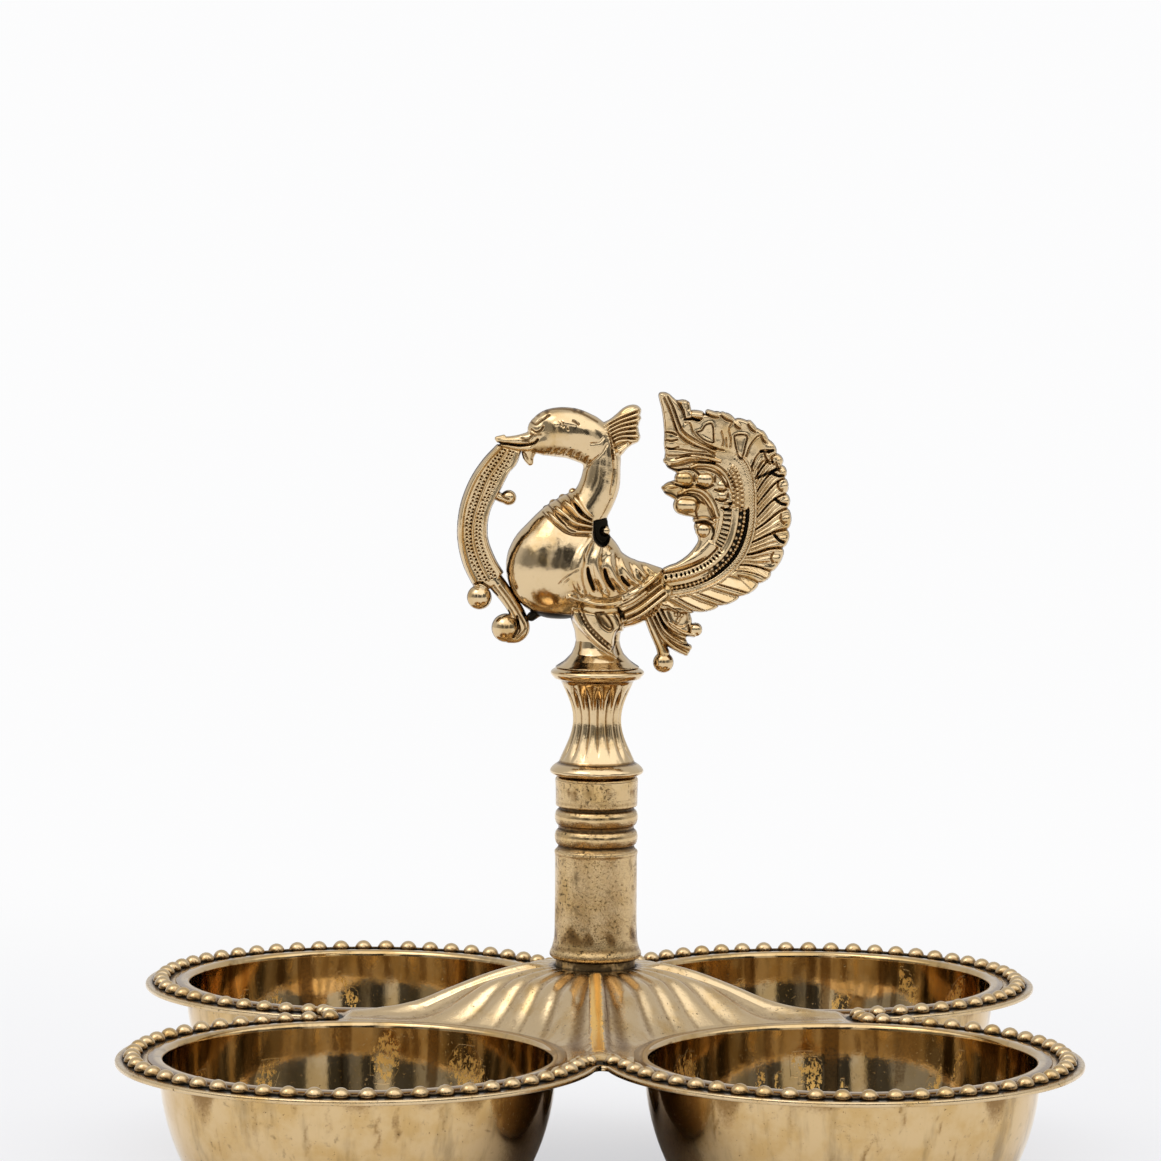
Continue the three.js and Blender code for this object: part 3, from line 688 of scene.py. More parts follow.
def bowl_shape(sizes):
    """Profile of a bowl: up its outside, round the lip and down its inside."""
    mouth, wall, lip = sizes.bowl_mouth / MM, sizes.bowl_wall / MM, sizes.lip_width / MM
    outer = mouth + wall
    base = float(bowl_side(0.0, 0.0, outer))
    profile = [(0, 0.25), (base * 0.5, 0.12), (base - 2.2, 0), (base - 1.2, 0), (base - 0.4, 0.16),
            (base + 0.15, 0.55)]
    for share in np.linspace(0.06, 1, 26):
        height = BOWL_DEPTH * math.sin(share * QUARTER)
        if height > 0.9:
            profile.append((float(bowl_side(height, 0.0, outer)), height))
    profile[-1] = (outer, BOWL_DEPTH - 0.02)
    edge = outer + lip
    for angle in np.linspace(-90, 90, 7):
        turn = math.radians(angle)
        profile.append((edge - 0.12 + 0.12 * math.cos(turn), BOWL_DEPTH + 0.14 + 0.12 * math.sin(turn)))
    profile += [(edge - 0.6, BOWL_DEPTH + 0.33), (outer + 0.25, BOWL_DEPTH + 0.37),
            (outer - 0.25, BOWL_DEPTH + 0.33)]
    profile += [(outer - 0.55, BOWL_DEPTH + 0.12), (mouth, BOWL_DEPTH - 0.3)]
    for share in np.linspace(0.985, 0, 26):
        height = wall + (BOWL_DEPTH - wall) * math.sin(share * QUARTER)
        if height < BOWL_DEPTH - 0.5:
            profile.append((float(bowl_side(height, wall, outer)), height))
    floor = profile[-1][0]
    profile[-1] = (floor - 0.5, wall + 0.05)
    profile += [(floor * 0.6, wall), (0, wall)]
    return np.array(profile, float)


def bowl_mesh(sizes, seed, sx, sy):
    """Corners, faces and patina of the bowl on the side that sx and sy give, with its painted shade and painted
    reflections.
    """
    profile = bowl_shape(sizes)
    rng = np.random.default_rng(seed)
    turns = rng.uniform(0, WHOLE_TURN, 5)

    def dented(radius, height, angle):
        fade = unit(np.minimum(height - 1.0, BOWL_DEPTH - 2.0 - height) / 6)
        dent = sum(np.sin((k + 2) * angle + turns[k] + height * (0.1 + 0.05 * k)) / (k + 2) for k in range(5))
        return radius + 0.05 * dent * fade, height

    corners, faces = turned(profile, BOWL_STEPS, dented)
    x, y, heights = corners.T
    radii = np.hypot(x, y)
    outer = bowl_outside(sizes)
    inner = bowl_side(np.clip(heights, 0.7, BOWL_DEPTH), sizes.bowl_wall / MM, outer)
    between_faces = inner + 0.25
    outside = (radii > between_faces) & (heights < BOWL_DEPTH - SEAM_HEIGHT)
    below_lip = BOWL_DEPTH - heights
    # darker just under the plate: painted shade there, broken into runs of tarnish that hang down; the sides that
    # face another bowl get a painted shade
    angle = np.arctan2(y, x)
    runs = sum(np.sin((5 + 4 * k) * angle + turns[k] * 3) for k in range(5)) / 5
    under_rim = unit(1 - below_lip / (1.8 + 9 * np.maximum(runs, 0)))
    shade = 0.75 * under_rim ** 1.2
    # painted shade where each bowl faces its neighbours
    for turn in (math.atan2(0, -sx), math.atan2(-sy, 0)):
        shade = np.maximum(shade, 0.42 * unit((0.8 - apart_in_turn(angle, turn)) / 0.22))
    # inside, painted reflections of the room: dark bands that hang from the lip with ragged ends
    painted_inner_reflection = np.zeros(len(corners))
    for turn in np.arange(0, WHOLE_TURN, 0.27):
        middle, half = turn + rng.uniform(-0.1, 0.1), rng.uniform(0.02, 0.075)
        drop, tone = rng.uniform(6, 24), rng.uniform(0.1, 0.6)
        ragged = drop + 2.5 * np.sin(60 * angle + turns[0]) + 1.5 * np.sin(97 * angle + turns[1])
        band = unit((half - apart_in_turn(angle, middle)) / 0.02 + 0.5) * unit((ragged - below_lip) / 1.5)
        painted_inner_reflection = np.maximum(painted_inner_reflection, tone * band)
    # between the bands, golden patches: painted warm reflections
    for turn in np.arange(0, WHOLE_TURN, 0.5):
        middle, half = turn + rng.uniform(-0.2, 0.2), rng.uniform(0.04, 0.13)
        drop, lean = rng.uniform(4, 10), rng.uniform(-0.03, 0.03)
        below = below_lip - drop
        apart = apart_in_turn(angle, middle + lean * below)
        patch = 1 - (apart / half) ** 2 - (below / 4) ** 2
        painted_inner_reflection = np.where((patch > 0) & (painted_inner_reflection < 0.3), -0.38 * np.sqrt(np.maximum(patch, 0)), painted_inner_reflection)
    # outside, thin dribbles that are thickest under the rim
    for _ in range(90):
        turn, drop = rng.uniform(0, WHOLE_TURN), 0.5 + 14 * rng.uniform() ** 2.5
        half, tall, tone = rng.uniform(0.012, 0.03), rng.uniform(1.2, 4.5), rng.uniform(0.12, 0.42)
        below = below_lip - drop
        apart = apart_in_turn(angle, turn + 0.01 * np.sin(1.7 * below))
        spot = 1 - (apart / half) ** 2 - (below / tall) ** 2
        shade = np.maximum(shade, tone * np.sqrt(np.maximum(spot, 0)))
    inside = (radii < between_faces) & (heights > 2.5) & (heights < BOWL_DEPTH - 0.2)
    shade = np.where(outside, shade, np.where(inside, painted_inner_reflection, 0.0))
    lip_edge = (radii > outer + 0.7) & (heights >= BOWL_DEPTH - 0.03)
    shade = np.where(lip_edge, 0.55, shade)
    return corners, faces, shade


class PUJA_OT_bowls(bpy.types.Operator):
    """Spins the four thin bowls with their turned-over lips"""

    bl_idname = "puja.bowls"
    bl_label = "Bowls"

    def execute(self, context):
        scene = context.scene
        material = brass("bowl brass", scene.puja_finish, polish=0.045, cloud=0.6, tarnish=0.35, spots=0.35,
                waves=0.07, grain=0.12, streaks=0.45, warmth=0.4)
        offset = lobe_middle(scene.puja_tray)
        for seed, (name, (sx, sy)) in enumerate(LOBES.items()):
            corners, faces, shade = bowl_mesh(scene.puja_tray, seed + 3, sx, sy)
            corners = corners + np.array([sx * offset, sy * offset, 0])
            new_piece(f"spun_bowl_{name}", corners, faces, shade, "tray", [f"bowl_{name}"], material)
        return {"FINISHED"}


# Plate


def web_circle(sizes):
    """Radius and middle of a lobe, middle and radius of a web's hollow edge, and the angle where they meet."""
    lobe = lobe_middle(sizes)
    reach = sizes.web_reach / MM
    centre = reach * (2 * lobe - reach) / (2 * (lobe - reach))
    return lobe, centre, centre - reach, math.atan2(centre, lobe)


def flute_wave(angle):
    """Nought on the crest of each of the dome's flutes and one in its valley."""
    return 0.5 - 0.5 * np.cos(DOME_FLUTES * angle)


def dome_height(x, y, sizes):
    """Height above the plate of the fluted dome, its four ribs and their steps."""
    lobe = lobe_middle(sizes)
    lip = (sizes.bowl_mouth + sizes.bowl_wall + sizes.lip_width) / MM + 0.2
    seat, reach, shoulder = 6.6, lobe + 2.5, 6.5
    radius = np.hypot(x, y)
    spread = unit((radius - seat) / (reach - seat))
    bell = (0.5 + 0.5 * np.cos(math.pi * spread)) ** 1.05
    to_lip = np.hypot(np.abs(x) - lobe, np.abs(y) - lobe) - lip
    climb = np.sin(QUARTER * unit(to_lip / shoulder))
    rise = sizes.dome_height / MM * bell * climb
    fluted = np.sin(math.pi * unit(spread * 1.06)) ** 0.7 * unit(climb * 1.6)
    groove = flute_wave(np.arctan2(y, x)) ** 1.6
    along = np.maximum(np.abs(x), np.abs(y))
    aside = np.minimum(np.abs(x), np.abs(y))
    rib_width = 0.75 + 0.03 * along
    rib = unit(1 - (aside / rib_width) ** 2) ** 0.5 * 0.62
    rib = rib * unit((along - 7.5) / 2.5) * unit((lobe + 3.0 - along) / 1.5)
    pad = unit((lobe + 3.0 - along) / 1.2) * unit((5.6 - aside) / 1.2) * 0.42
    pad = pad * unit((along - 26) / 6)
    return rise - sizes.flute_depth / MM * fluted * groove + np.maximum(rib, 0) + pad


def plate_patches(sizes):
    """Grids of points in plan that cover the plate's top as far as its rounded edge."""
    lobe, centre, web, corner = web_circle(sizes)
    hole = bowl_outside(sizes) + HOLE_GAP
    ring = lobe - EDGE_ROUND
    web = web + EDGE_ROUND
    # one quarter, with the lobe at +X -Y, which is turned later
    meet = QUARTER - corner
    inner = np.linspace(QUARTER, math.pi, 121)  # the arc that faces the dome
    arcs = np.concatenate([
        np.linspace(math.pi, math.pi + corner, 26)[1:],
        np.linspace(math.pi + corner, WHOLE_TURN + meet, 221)[1:],
        np.linspace(meet, QUARTER, 26)[1:],
    ])
    angles = np.concatenate([inner, arcs])[:-1]
    spots = np.array([0, 0.12, 0.3, 0.6, 1.0, 1.5, 2.0, 2.5, 2.95, 3.4, 3.85, 4.3, 4.8, 5.2, ring - hole])
    radii = hole + np.clip(spots, 0, ring - hole)
    disc = (lobe + np.outer(radii, np.cos(angles)), -lobe + np.outer(radii, np.sin(angles)), True)
    # dome between the lobes, from the seat to the inner arc
    arc_x = lobe + ring * np.cos(inner)
    arc_y = -lobe + ring * np.sin(inner)
    edge_x = np.concatenate([np.full(5, lobe), arc_x, np.linspace(arc_x[-1], 0, 6)[1:]])
    edge_y = np.concatenate([np.linspace(0, arc_y[0], 6)[:-1], arc_y, np.full(5, -lobe)])
    start = 5.0
    ratio = start / np.hypot(edge_x, edge_y)
    share = np.linspace(0, 1, 70)[:, None]
    reach = ratio[None, :] + (1 - ratio[None, :]) * share
    dome = (edge_x * reach, edge_y * reach, False)
    # web beyond the line of the bowl centres, at +X
    side = np.linspace(0, 1, 26)
    lower = np.array([lobe + ring * np.cos(QUARTER - corner * side),
            -lobe + ring * np.sin(QUARTER - corner * side)])
    upper = lower * np.array([[1], [-1]])
    s = np.linspace(0, 1, 41)
    sweep = math.pi + meet * (1 - 2 * s)
    outer = np.array([lobe + centre + web * np.cos(sweep), web * np.sin(sweep)])
    near = np.array([np.full(len(s), lobe), np.linspace(lower[1, 0], upper[1, 0], len(s))])
    t = side[:, None]
    patch = []
    for k in range(2):
        ruled = (1 - s)[None, :] * lower[k][:, None] + s[None, :] * upper[k][:, None]
        across = (1 - t) * near[k][None, :] + t * outer[k][None, :]
        corner_mix = (1 - t) * ((1 - s) * near[k][0] + s * near[k][-1])[None, :]
        corner_mix = corner_mix + t * ((1 - s) * outer[k][0] + s * outer[k][-1])[None, :]
        patch.append(ruled + across - corner_mix)
    return disc, dome, (patch[0], patch[1], False)


def plate_edge(sizes, inset, lobe_steps, web_steps):
    """Plan of a quarter of the plate's edge with its outward direction, as in the solid."""
    lobe, centre, web, corner = web_circle(sizes)
    half = QUARTER - corner
    rows = []

    def put(x, y, radius, a, outward):
        """A point of the edge, at an angle round a middle."""
        c, s = math.cos(a), math.sin(a)
        rows.append((x + c * radius, y + s * radius, outward * c, outward * s))

    for i in range(web_steps):
        put(0, -lobe - centre, web + inset, QUARTER - half * i / web_steps, -1)
    sweep = 1.5 * math.pi - 2 * corner
    for i in range(lobe_steps + 1):
        put(lobe, -lobe, lobe - inset, math.pi + corner + sweep * i / lobe_steps, 1)
    for i in range(1, web_steps + 1):
        put(lobe + centre, 0, web + inset, math.pi + corner + half * i / web_steps, -1)
    return np.array(rows)


def plate_mesh(sizes):
    """Corners and faces of the plate: four turned quarters with their top, underside, edge and opening."""
    thickness = sizes.plate_thickness / MM
    corners, faces = [], []

    def put(x, y, z, closed=False, flip=False):
        made = grid_faces(*x.shape, len(corners), closed)
        faces.extend([f[::-1] for f in made] if flip else made)
        corners.extend(zip(x.ravel(), y.ravel(), z.ravel()))

    disc, dome, web = plate_patches(sizes)
    edge = plate_edge(sizes, EDGE_ROUND, 160, 24)
    for turn in range(4):
        c, s = round(math.cos(turn * QUARTER)), round(math.sin(turn * QUARTER))

        def spun(x, y):
            return x * c - y * s, x * s + y * c

        for x, y, closed in (disc, dome, web):
            rising = (x[1:, 1:] - x[:-1, :-1]) * (y[:-1, 1:] - y[1:, :-1])
            falling = (x[:-1, 1:] - x[1:, :-1]) * (y[1:, 1:] - y[:-1, :-1])
            flip = np.mean(rising - falling) > 0
            x, y = spun(x, y)
            top = BOWL_DEPTH + dome_height(x, y, sizes)
            put(x, y, top, closed, flip)
            put(x, y, top - thickness, closed, not flip)
        # rounded outer edge
        rows = []
        for out, down in ((0, 0), (0.16, 0.05), (0.26, 0.18), (0.3, 0.4), (0.26, 0.62), (0.16, 0.75), (0, 0.8)):
            x = edge[:, 0] + edge[:, 2] * out
            y = edge[:, 1] + edge[:, 3] * out
            rows.append((x, y, BOWL_DEPTH - down * thickness / 0.8 + 0 * x))
        x, y, z = (np.array([row[k] for row in rows]) for k in range(3))
        x, y = spun(x, y)
        put(x, y, z, flip=True)
        # wall of the bowl's opening
        lobe = lobe_middle(sizes)
        hole = bowl_outside(sizes) + HOLE_GAP
        around = np.linspace(0, WHOLE_TURN, 240, endpoint=False)
        x = lobe + hole * np.cos(around)
        y = -lobe + hole * np.sin(around)
        x, y = spun(np.array([x, x]), np.array([y, y]))
        z = BOWL_DEPTH + dome_height(x, y, sizes) - np.array([[0], [thickness]])
        put(x, y, z, closed=True)
    return np.array(corners), faces


def plate_shade(corners, sizes):
    """Painted shade: black under and between the beads, along the lobes and the webs; black in the flutes' ends;
    painted shade in the flute valleys, most at the front; a painted shadow round the foot; and a painted highlight
    and shade on the front pleat.
    """
    x, y = corners.T[:2]
    lobe, centre, web = web_circle(sizes)[:3]
    from_lobe = np.hypot(np.abs(x) - lobe, np.abs(y) - lobe)
    half = sizes.bead_width / MM / 2
    along = np.maximum(np.abs(x), np.abs(y))
    aside = np.minimum(np.abs(x), np.abs(y))
    # the beads follow the lobes and, past the corners, the webs
    in_web = centre * (lobe - aside) > lobe * (along - lobe)
    from_web = np.abs(np.hypot(along - lobe - centre, aside) - web - BEAD_INSET)
    apart = np.where(in_web, from_web, np.abs(lobe - from_lobe - BEAD_INSET))
    # painted shade: black under and between the beads
    beads = unit((half + 0.55 - apart) / 0.5)
    angle = np.arctan2(y, x)
    radius = np.hypot(x, y)
    middle = (radius < 34) & (aside < 34)
    valley = flute_wave(angle) ** 4 * hump(from_lobe - 31.2, 0.9)
    # painted shadow round the foot
    painted_foot_shadow = unit(1 - (radius - 6.0) / 1.6)
    shade = np.maximum(0.95 * beads, 0.3 * valley * middle)
    dome = unit((from_lobe - 30.2) / 1.5) * unit((radius - 7) / 3) * unit((lobe - along) / 4)
    off_front = angle + QUARTER
    front = hump(off_front, 0.45)
    # painted shade in the flute valleys, darker at the front
    painted_pleat_shade = flute_wave(angle) ** (3.4 - 1.4 * front)
    shade = np.maximum(shade, dome * painted_pleat_shade * (0.24 + 0.24 * front))
    # the front pleat gets a golden painted highlight on its left and a brown painted shade on its right
    pleat = unit((radius - 8) / 1.5) * unit((36.5 - radius) / 2)
    side = off_front * radius
    painted_highlight = pleat * unit((1.0 - np.abs(side + 0.3)) / 0.4)
    brown = pleat * unit((0.8 - np.abs(side - 1.3)) / 0.5)
    shade = np.where(painted_highlight > 0.05, -0.9 * painted_highlight, np.maximum(shade, 0.42 * brown))
    return np.where(painted_foot_shadow > 0, np.maximum(shade, 0.9 * painted_foot_shadow), shade)


class PUJA_OT_plate(bpy.types.Operator):
    """Presses the clover plate with its fluted dome"""

    bl_idname = "puja.plate"
    bl_label = "Plate"

    def execute(self, context):
        scene = context.scene
        material = brass("plate brass", scene.puja_finish, polish=0.21, cloud=0.4, tarnish=0.3, spots=0.7,
                waves=0.3, grain=0.6)
        corners, faces = plate_mesh(scene.puja_tray)
        shade = plate_shade(corners, scene.puja_tray)
        new_piece("pressed_plate", corners, faces, shade, "tray", ["tray_plate"], material)
        return {"FINISHED"}


# Beads


def bead_mesh(sizes, steps=16, around=12):
    """One lobe's length of beaded wire."""
    path = plate_edge(sizes, BEAD_INSET, 400, 60)
    reach = run_along(path)
    count = int(round(reach[-1] / (sizes.bead_pitch / MM)))
    pitch = reach[-1] / count
    width, height = sizes.bead_width / MM / 2, sizes.bead_height / MM
    places = np.array([(k + i / steps) * pitch for k in range(count) for i in range(steps)][1:])
    share = (places / pitch) % 1 - 0.5
    swell = np.maximum(np.sqrt(unit(1 - (share / 0.37) ** 2)), 0.25)
    x, y, nx, ny = (np.interp(places, reach, path[:, k]) for k in range(4))
    corners, dark = [], []
    for k in range(around):
        turn = math.pi * k / (around - 1)
        out, up = math.cos(turn), math.sin(turn)
        lift = np.where(k in (0, around - 1), -0.25, up * swell * height)
        corners.append(np.stack([x + nx * out * swell * width, y + ny * out * swell * width,
                BOWL_DEPTH + lift + 0 * x], axis=1))
        # painted shade: each bead darkens on its lower sides and in the necks between beads
        low = 1 - unit(up * swell * 1.25)
        dark.append(unit(0.1 + 0.95 * low ** 1.35) * np.clip(1.6 - swell, 0.2, 1))
    corners = np.stack(corners, axis=1)
    dark = np.stack(dark, axis=1)
    rows, columns = corners.shape[:2]
    flat = corners.reshape(-1, 3)
    faces = [f[::-1] for f in grid_faces(rows, columns, closed=True)]
    faces.append(tuple(range(columns)))
    faces.append(tuple(range((rows - 1) * columns, rows * columns))[::-1])
    return flat, faces, dark.ravel()


class PUJA_OT_beads(bpy.types.Operator):
    """Lays the beaded wire along the plate's edge"""

    bl_idname = "puja.beads"
    bl_label = "Beads"

    def execute(self, context):
        scene = context.scene
        material = brass("bead brass", scene.puja_finish, polish=0.16, cloud=0.45, tarnish=0.25, spots=0.3,
                waves=0.3, grain=0.4, warmth=0.1)
        corners, faces, shade = bead_mesh(scene.puja_tray)
        for turn, name in zip((-1, 0, 1, 2), LOBES):
            c, s = math.cos(turn * QUARTER), math.sin(turn * QUARTER)
            placed = corners @ np.array([[c, s, 0], [-s, c, 0], [0, 0, 1]])
            new_piece(f"beads_{name}", placed, faces, shade, "tray", [f"bead_wire_{name}"], material)
        return {"FINISHED"}


# Stem and baluster


def groove_shade(profile, reach=1.0):
    """How far each row of a profile lies inside its neighbours."""
    radius, height = profile[:, 0], profile[:, 1]
    near = np.abs(height[:, None] - height[None, :]) < reach
    highest = np.max(np.where(near & (radius[None, :] > 5), radius[None, :], 0), axis=1)
    return unit((highest - radius - 0.12) / 0.55)


def stem_profile(sizes):
    radius, foot = sizes.stem_radius / MM, sizes.foot_radius / MM
    rows = [(4.0, 0.0), (foot - 0.95, 0.0, 0.2), (foot - 0.35, 0.25, 0.3), (foot, 0.75, 0.3),
            (foot - 0.1, 1.2, 0.3)]
    rows += [(foot - 0.42, 1.9, 0.5), (radius + 0.12, 3.1, 0.6), (radius + 0.03, 5, 0.8), (radius, 10, 1),
            (radius + 0.02, 15.8, 0.3)]
    rows += [(radius + 0.12, 16.2, 0.15), (radius + 0.1, 16.55, 0.15), (radius - 0.16, 16.75, 0.1),
            (radius - 0.42, 17.1, 0.2)]
    for low in (17.35, 20.35):
        rows += [(radius - 0.45, low, 0.12), (radius - 0.12, low + 0.3, 0.2), (radius + 0.12, low + 1.1, 0.5)]
        rows += [(radius + 0.1, low + 1.7, 0.4), (radius - 0.16, low + 2.25, 0.2), (radius - 0.5, low + 2.5, 0.15)]
    rows += [(radius - 0.5, 23.15, 0.1), (radius - 0.02, 23.35, 0.15), (radius, 24.2, 0.4),
            (radius + 0.02, 26.2, 0.4)]
    rows += [(radius + 0.1, 27.3, 0.15), (radius - 0.05, 27.6, 0.1), (4.0, 27.6), (4.0, 0.0)]
    return softened(rows, 4)


class PUJA_OT_stem(bpy.types.Operator):
    """Turns the pitted stem sleeve with its two rings"""

    bl_idname = "puja.stem"
    bl_label = "Stem"

    def execute(self, context):
        scene = context.scene
        profile = stem_profile(scene.puja_handle)
        shade = groove_shade(profile, 0.9)
        # painted shade round the foot's lower edge, where it stands on the seat
        shade = np.maximum(shade, unit(1 - profile[:, 1] / 0.5) * 0.8)
        turns = np.random.default_rng(8).uniform(0, 6.28, 4)

        def worn(radius, height, angle):
            wave = sum(np.sin((k + 2) * angle + turns[k] + height * 0.3 * k) / (k + 2) for k in range(4))
            return radius + 0.03 * wave * (radius > 5), height

        corners, faces = turned(profile, STEM_STEPS, worn)
        rows = np.repeat(shade, STEM_STEPS)
        # blotches above the foot, and a painted warm reflection of the dome on the lower halves of the rings and of
        # the foot
        angle = np.arctan2(corners[:, 1], corners[:, 0])
        height = corners[:, 2]
        waves = [np.sin((3 + 4 * k) * angle + turns[k] + 0.9 * height * (k % 2)) for k in range(4)]
        uneven = 0.5 + 0.5 * sum(waves) / 2
        blotch = hump(height - 3.0 - uneven, 1.3) * unit(1.4 * uneven - 0.2)
        under = sum(hump(height - low, 0.35) for low in (17.8, 20.8, 23.9, 1.0))
        rows = np.maximum(rows, np.maximum(0.7 * blotch, 0.3 * under))
        collar = hump(height - 26.2 + 0.8 * uneven, 1.0) * unit(1.6 * uneven - 0.5)
        rows = np.maximum(rows, np.where(height > 23.3, 0.55 * collar, 0))
        # the rings and the collar are burnished
        rows = np.where((rows < 0.03) & (height > 16.9) & (height < 27.3), -0.02, rows)
        corners[:, 2] += STEM_BOTTOM
        material = brass("stem brass", scene.puja_finish, polish=0.24, cloud=0.6, tarnish=0.4, spots=1.3, waves=0.5,
                grain=1.6, warmth=0.4)
        new_piece("turned_stem", corners, faces, rows, "handle", ["stem_sleeve"], material)
        return {"FINISHED"}


def baluster_profile(sizes):
    flange, waist, flare = sizes.flange_radius / MM, sizes.waist_radius / MM, 5.75
    rows = [(2.3, 0.0), (5.7, 0.0, 0.15), (6.0, 0.25, 0.2), (6.9, 0.62, 0.3), (flange, 1.05, 0.3),
            (flange - 0.25, 1.5, 0.3)]
    rows += [(flare + 0.62, 1.95, 0.3), (flare + 0.25, 2.15, 0.15)]
    for share in np.linspace(0.0, 1, 26):
        pinch = math.sin(math.pi * share ** 1.04) ** 1.12
        rows.append((flare - (flare - waist) * pinch - 0.25 * share, 2.3 + 12.3 * share))
    rows += [(5.75, 14.75, 0.1), (6.5, 15.0, 0.2), (flange, 15.75, 0.35), (flange - 0.15, 16.15, 0.3),
            (6.3, 16.55, 0.2)]
    rows += [(5.9, 16.7, 0.1), (2.3, 16.7), (2.3, 0.0)]
    return softened(rows, 3)


def cast_brass(look):
    """The one finish of the baluster, the bird, the tail and the garland."""
    finish = {"polish": 0.13, "cloud": 0.35, "tarnish": 0.12, "spots": 0.22, "waves": 0.45, "grain": 0.3}
    return bpy.data.materials.get("cast brass") or brass("cast brass", look, **finish)


def cast_piece(scene, name, node, relief, **pouring):
    """Pours a relief in the cast brass and fixes it to the handle."""
    corners, faces, shade = relief.mesh(**pouring)
    material = cast_brass(scene.puja_finish)
    new_piece(name, corners, faces, shade, "handle", [node], material)


class PUJA_OT_baluster(bpy.types.Operator):
    """Casts the fluted baluster between the stem and the bird"""

    bl_idname = "puja.baluster"
    bl_label = "Baluster"

    def execute(self, context):
        scene = context.scene
        sizes = scene.puja_handle
        profile = baluster_profile(sizes)
        angle = np.linspace(0, WHOLE_TURN, BALUSTER_STEPS, endpoint=False)
        depth = sizes.baluster_flute / MM

        def flutes(height):
            fade = unit((height - 2.6) / 2.0) * unit((14.3 - height) / 2.2)
            return fade * (1 - np.abs(np.sin(BALUSTER_FLUTES / 2 * angle[None, :])) ** 0.8)

        def fluted(radius, height, turn):
            return radius - depth * flutes(height) * (radius > 3), height

        corners, faces = turned(profile, BALUSTER_STEPS, fluted)
        groove = flutes(np.repeat(profile[:, 1][:, None], BALUSTER_STEPS, axis=1))
        upper = unit((profile[:, 1] - 9.5) / 3)[:, None] * unit((14.6 - profile[:, 1]) / 0.4)[:, None]
        shade = (0.55 + 0.25 * upper) * groove ** 2 + 0.15 * upper
        seam = hump(profile[:, 1] - 2.3, 0.22) * 0.75 + hump(profile[:, 1] - 14.75, 0.2) * 0.6
        shade = np.maximum(shade, seam[:, None])
        corners[:, 2] += BALUSTER_BOTTOM
        material = cast_brass(scene.puja_finish)
        new_piece("cast_baluster", corners, faces, shade.ravel(), "handle", ["baluster"], material)
        return {"FINISHED"}


# Bird


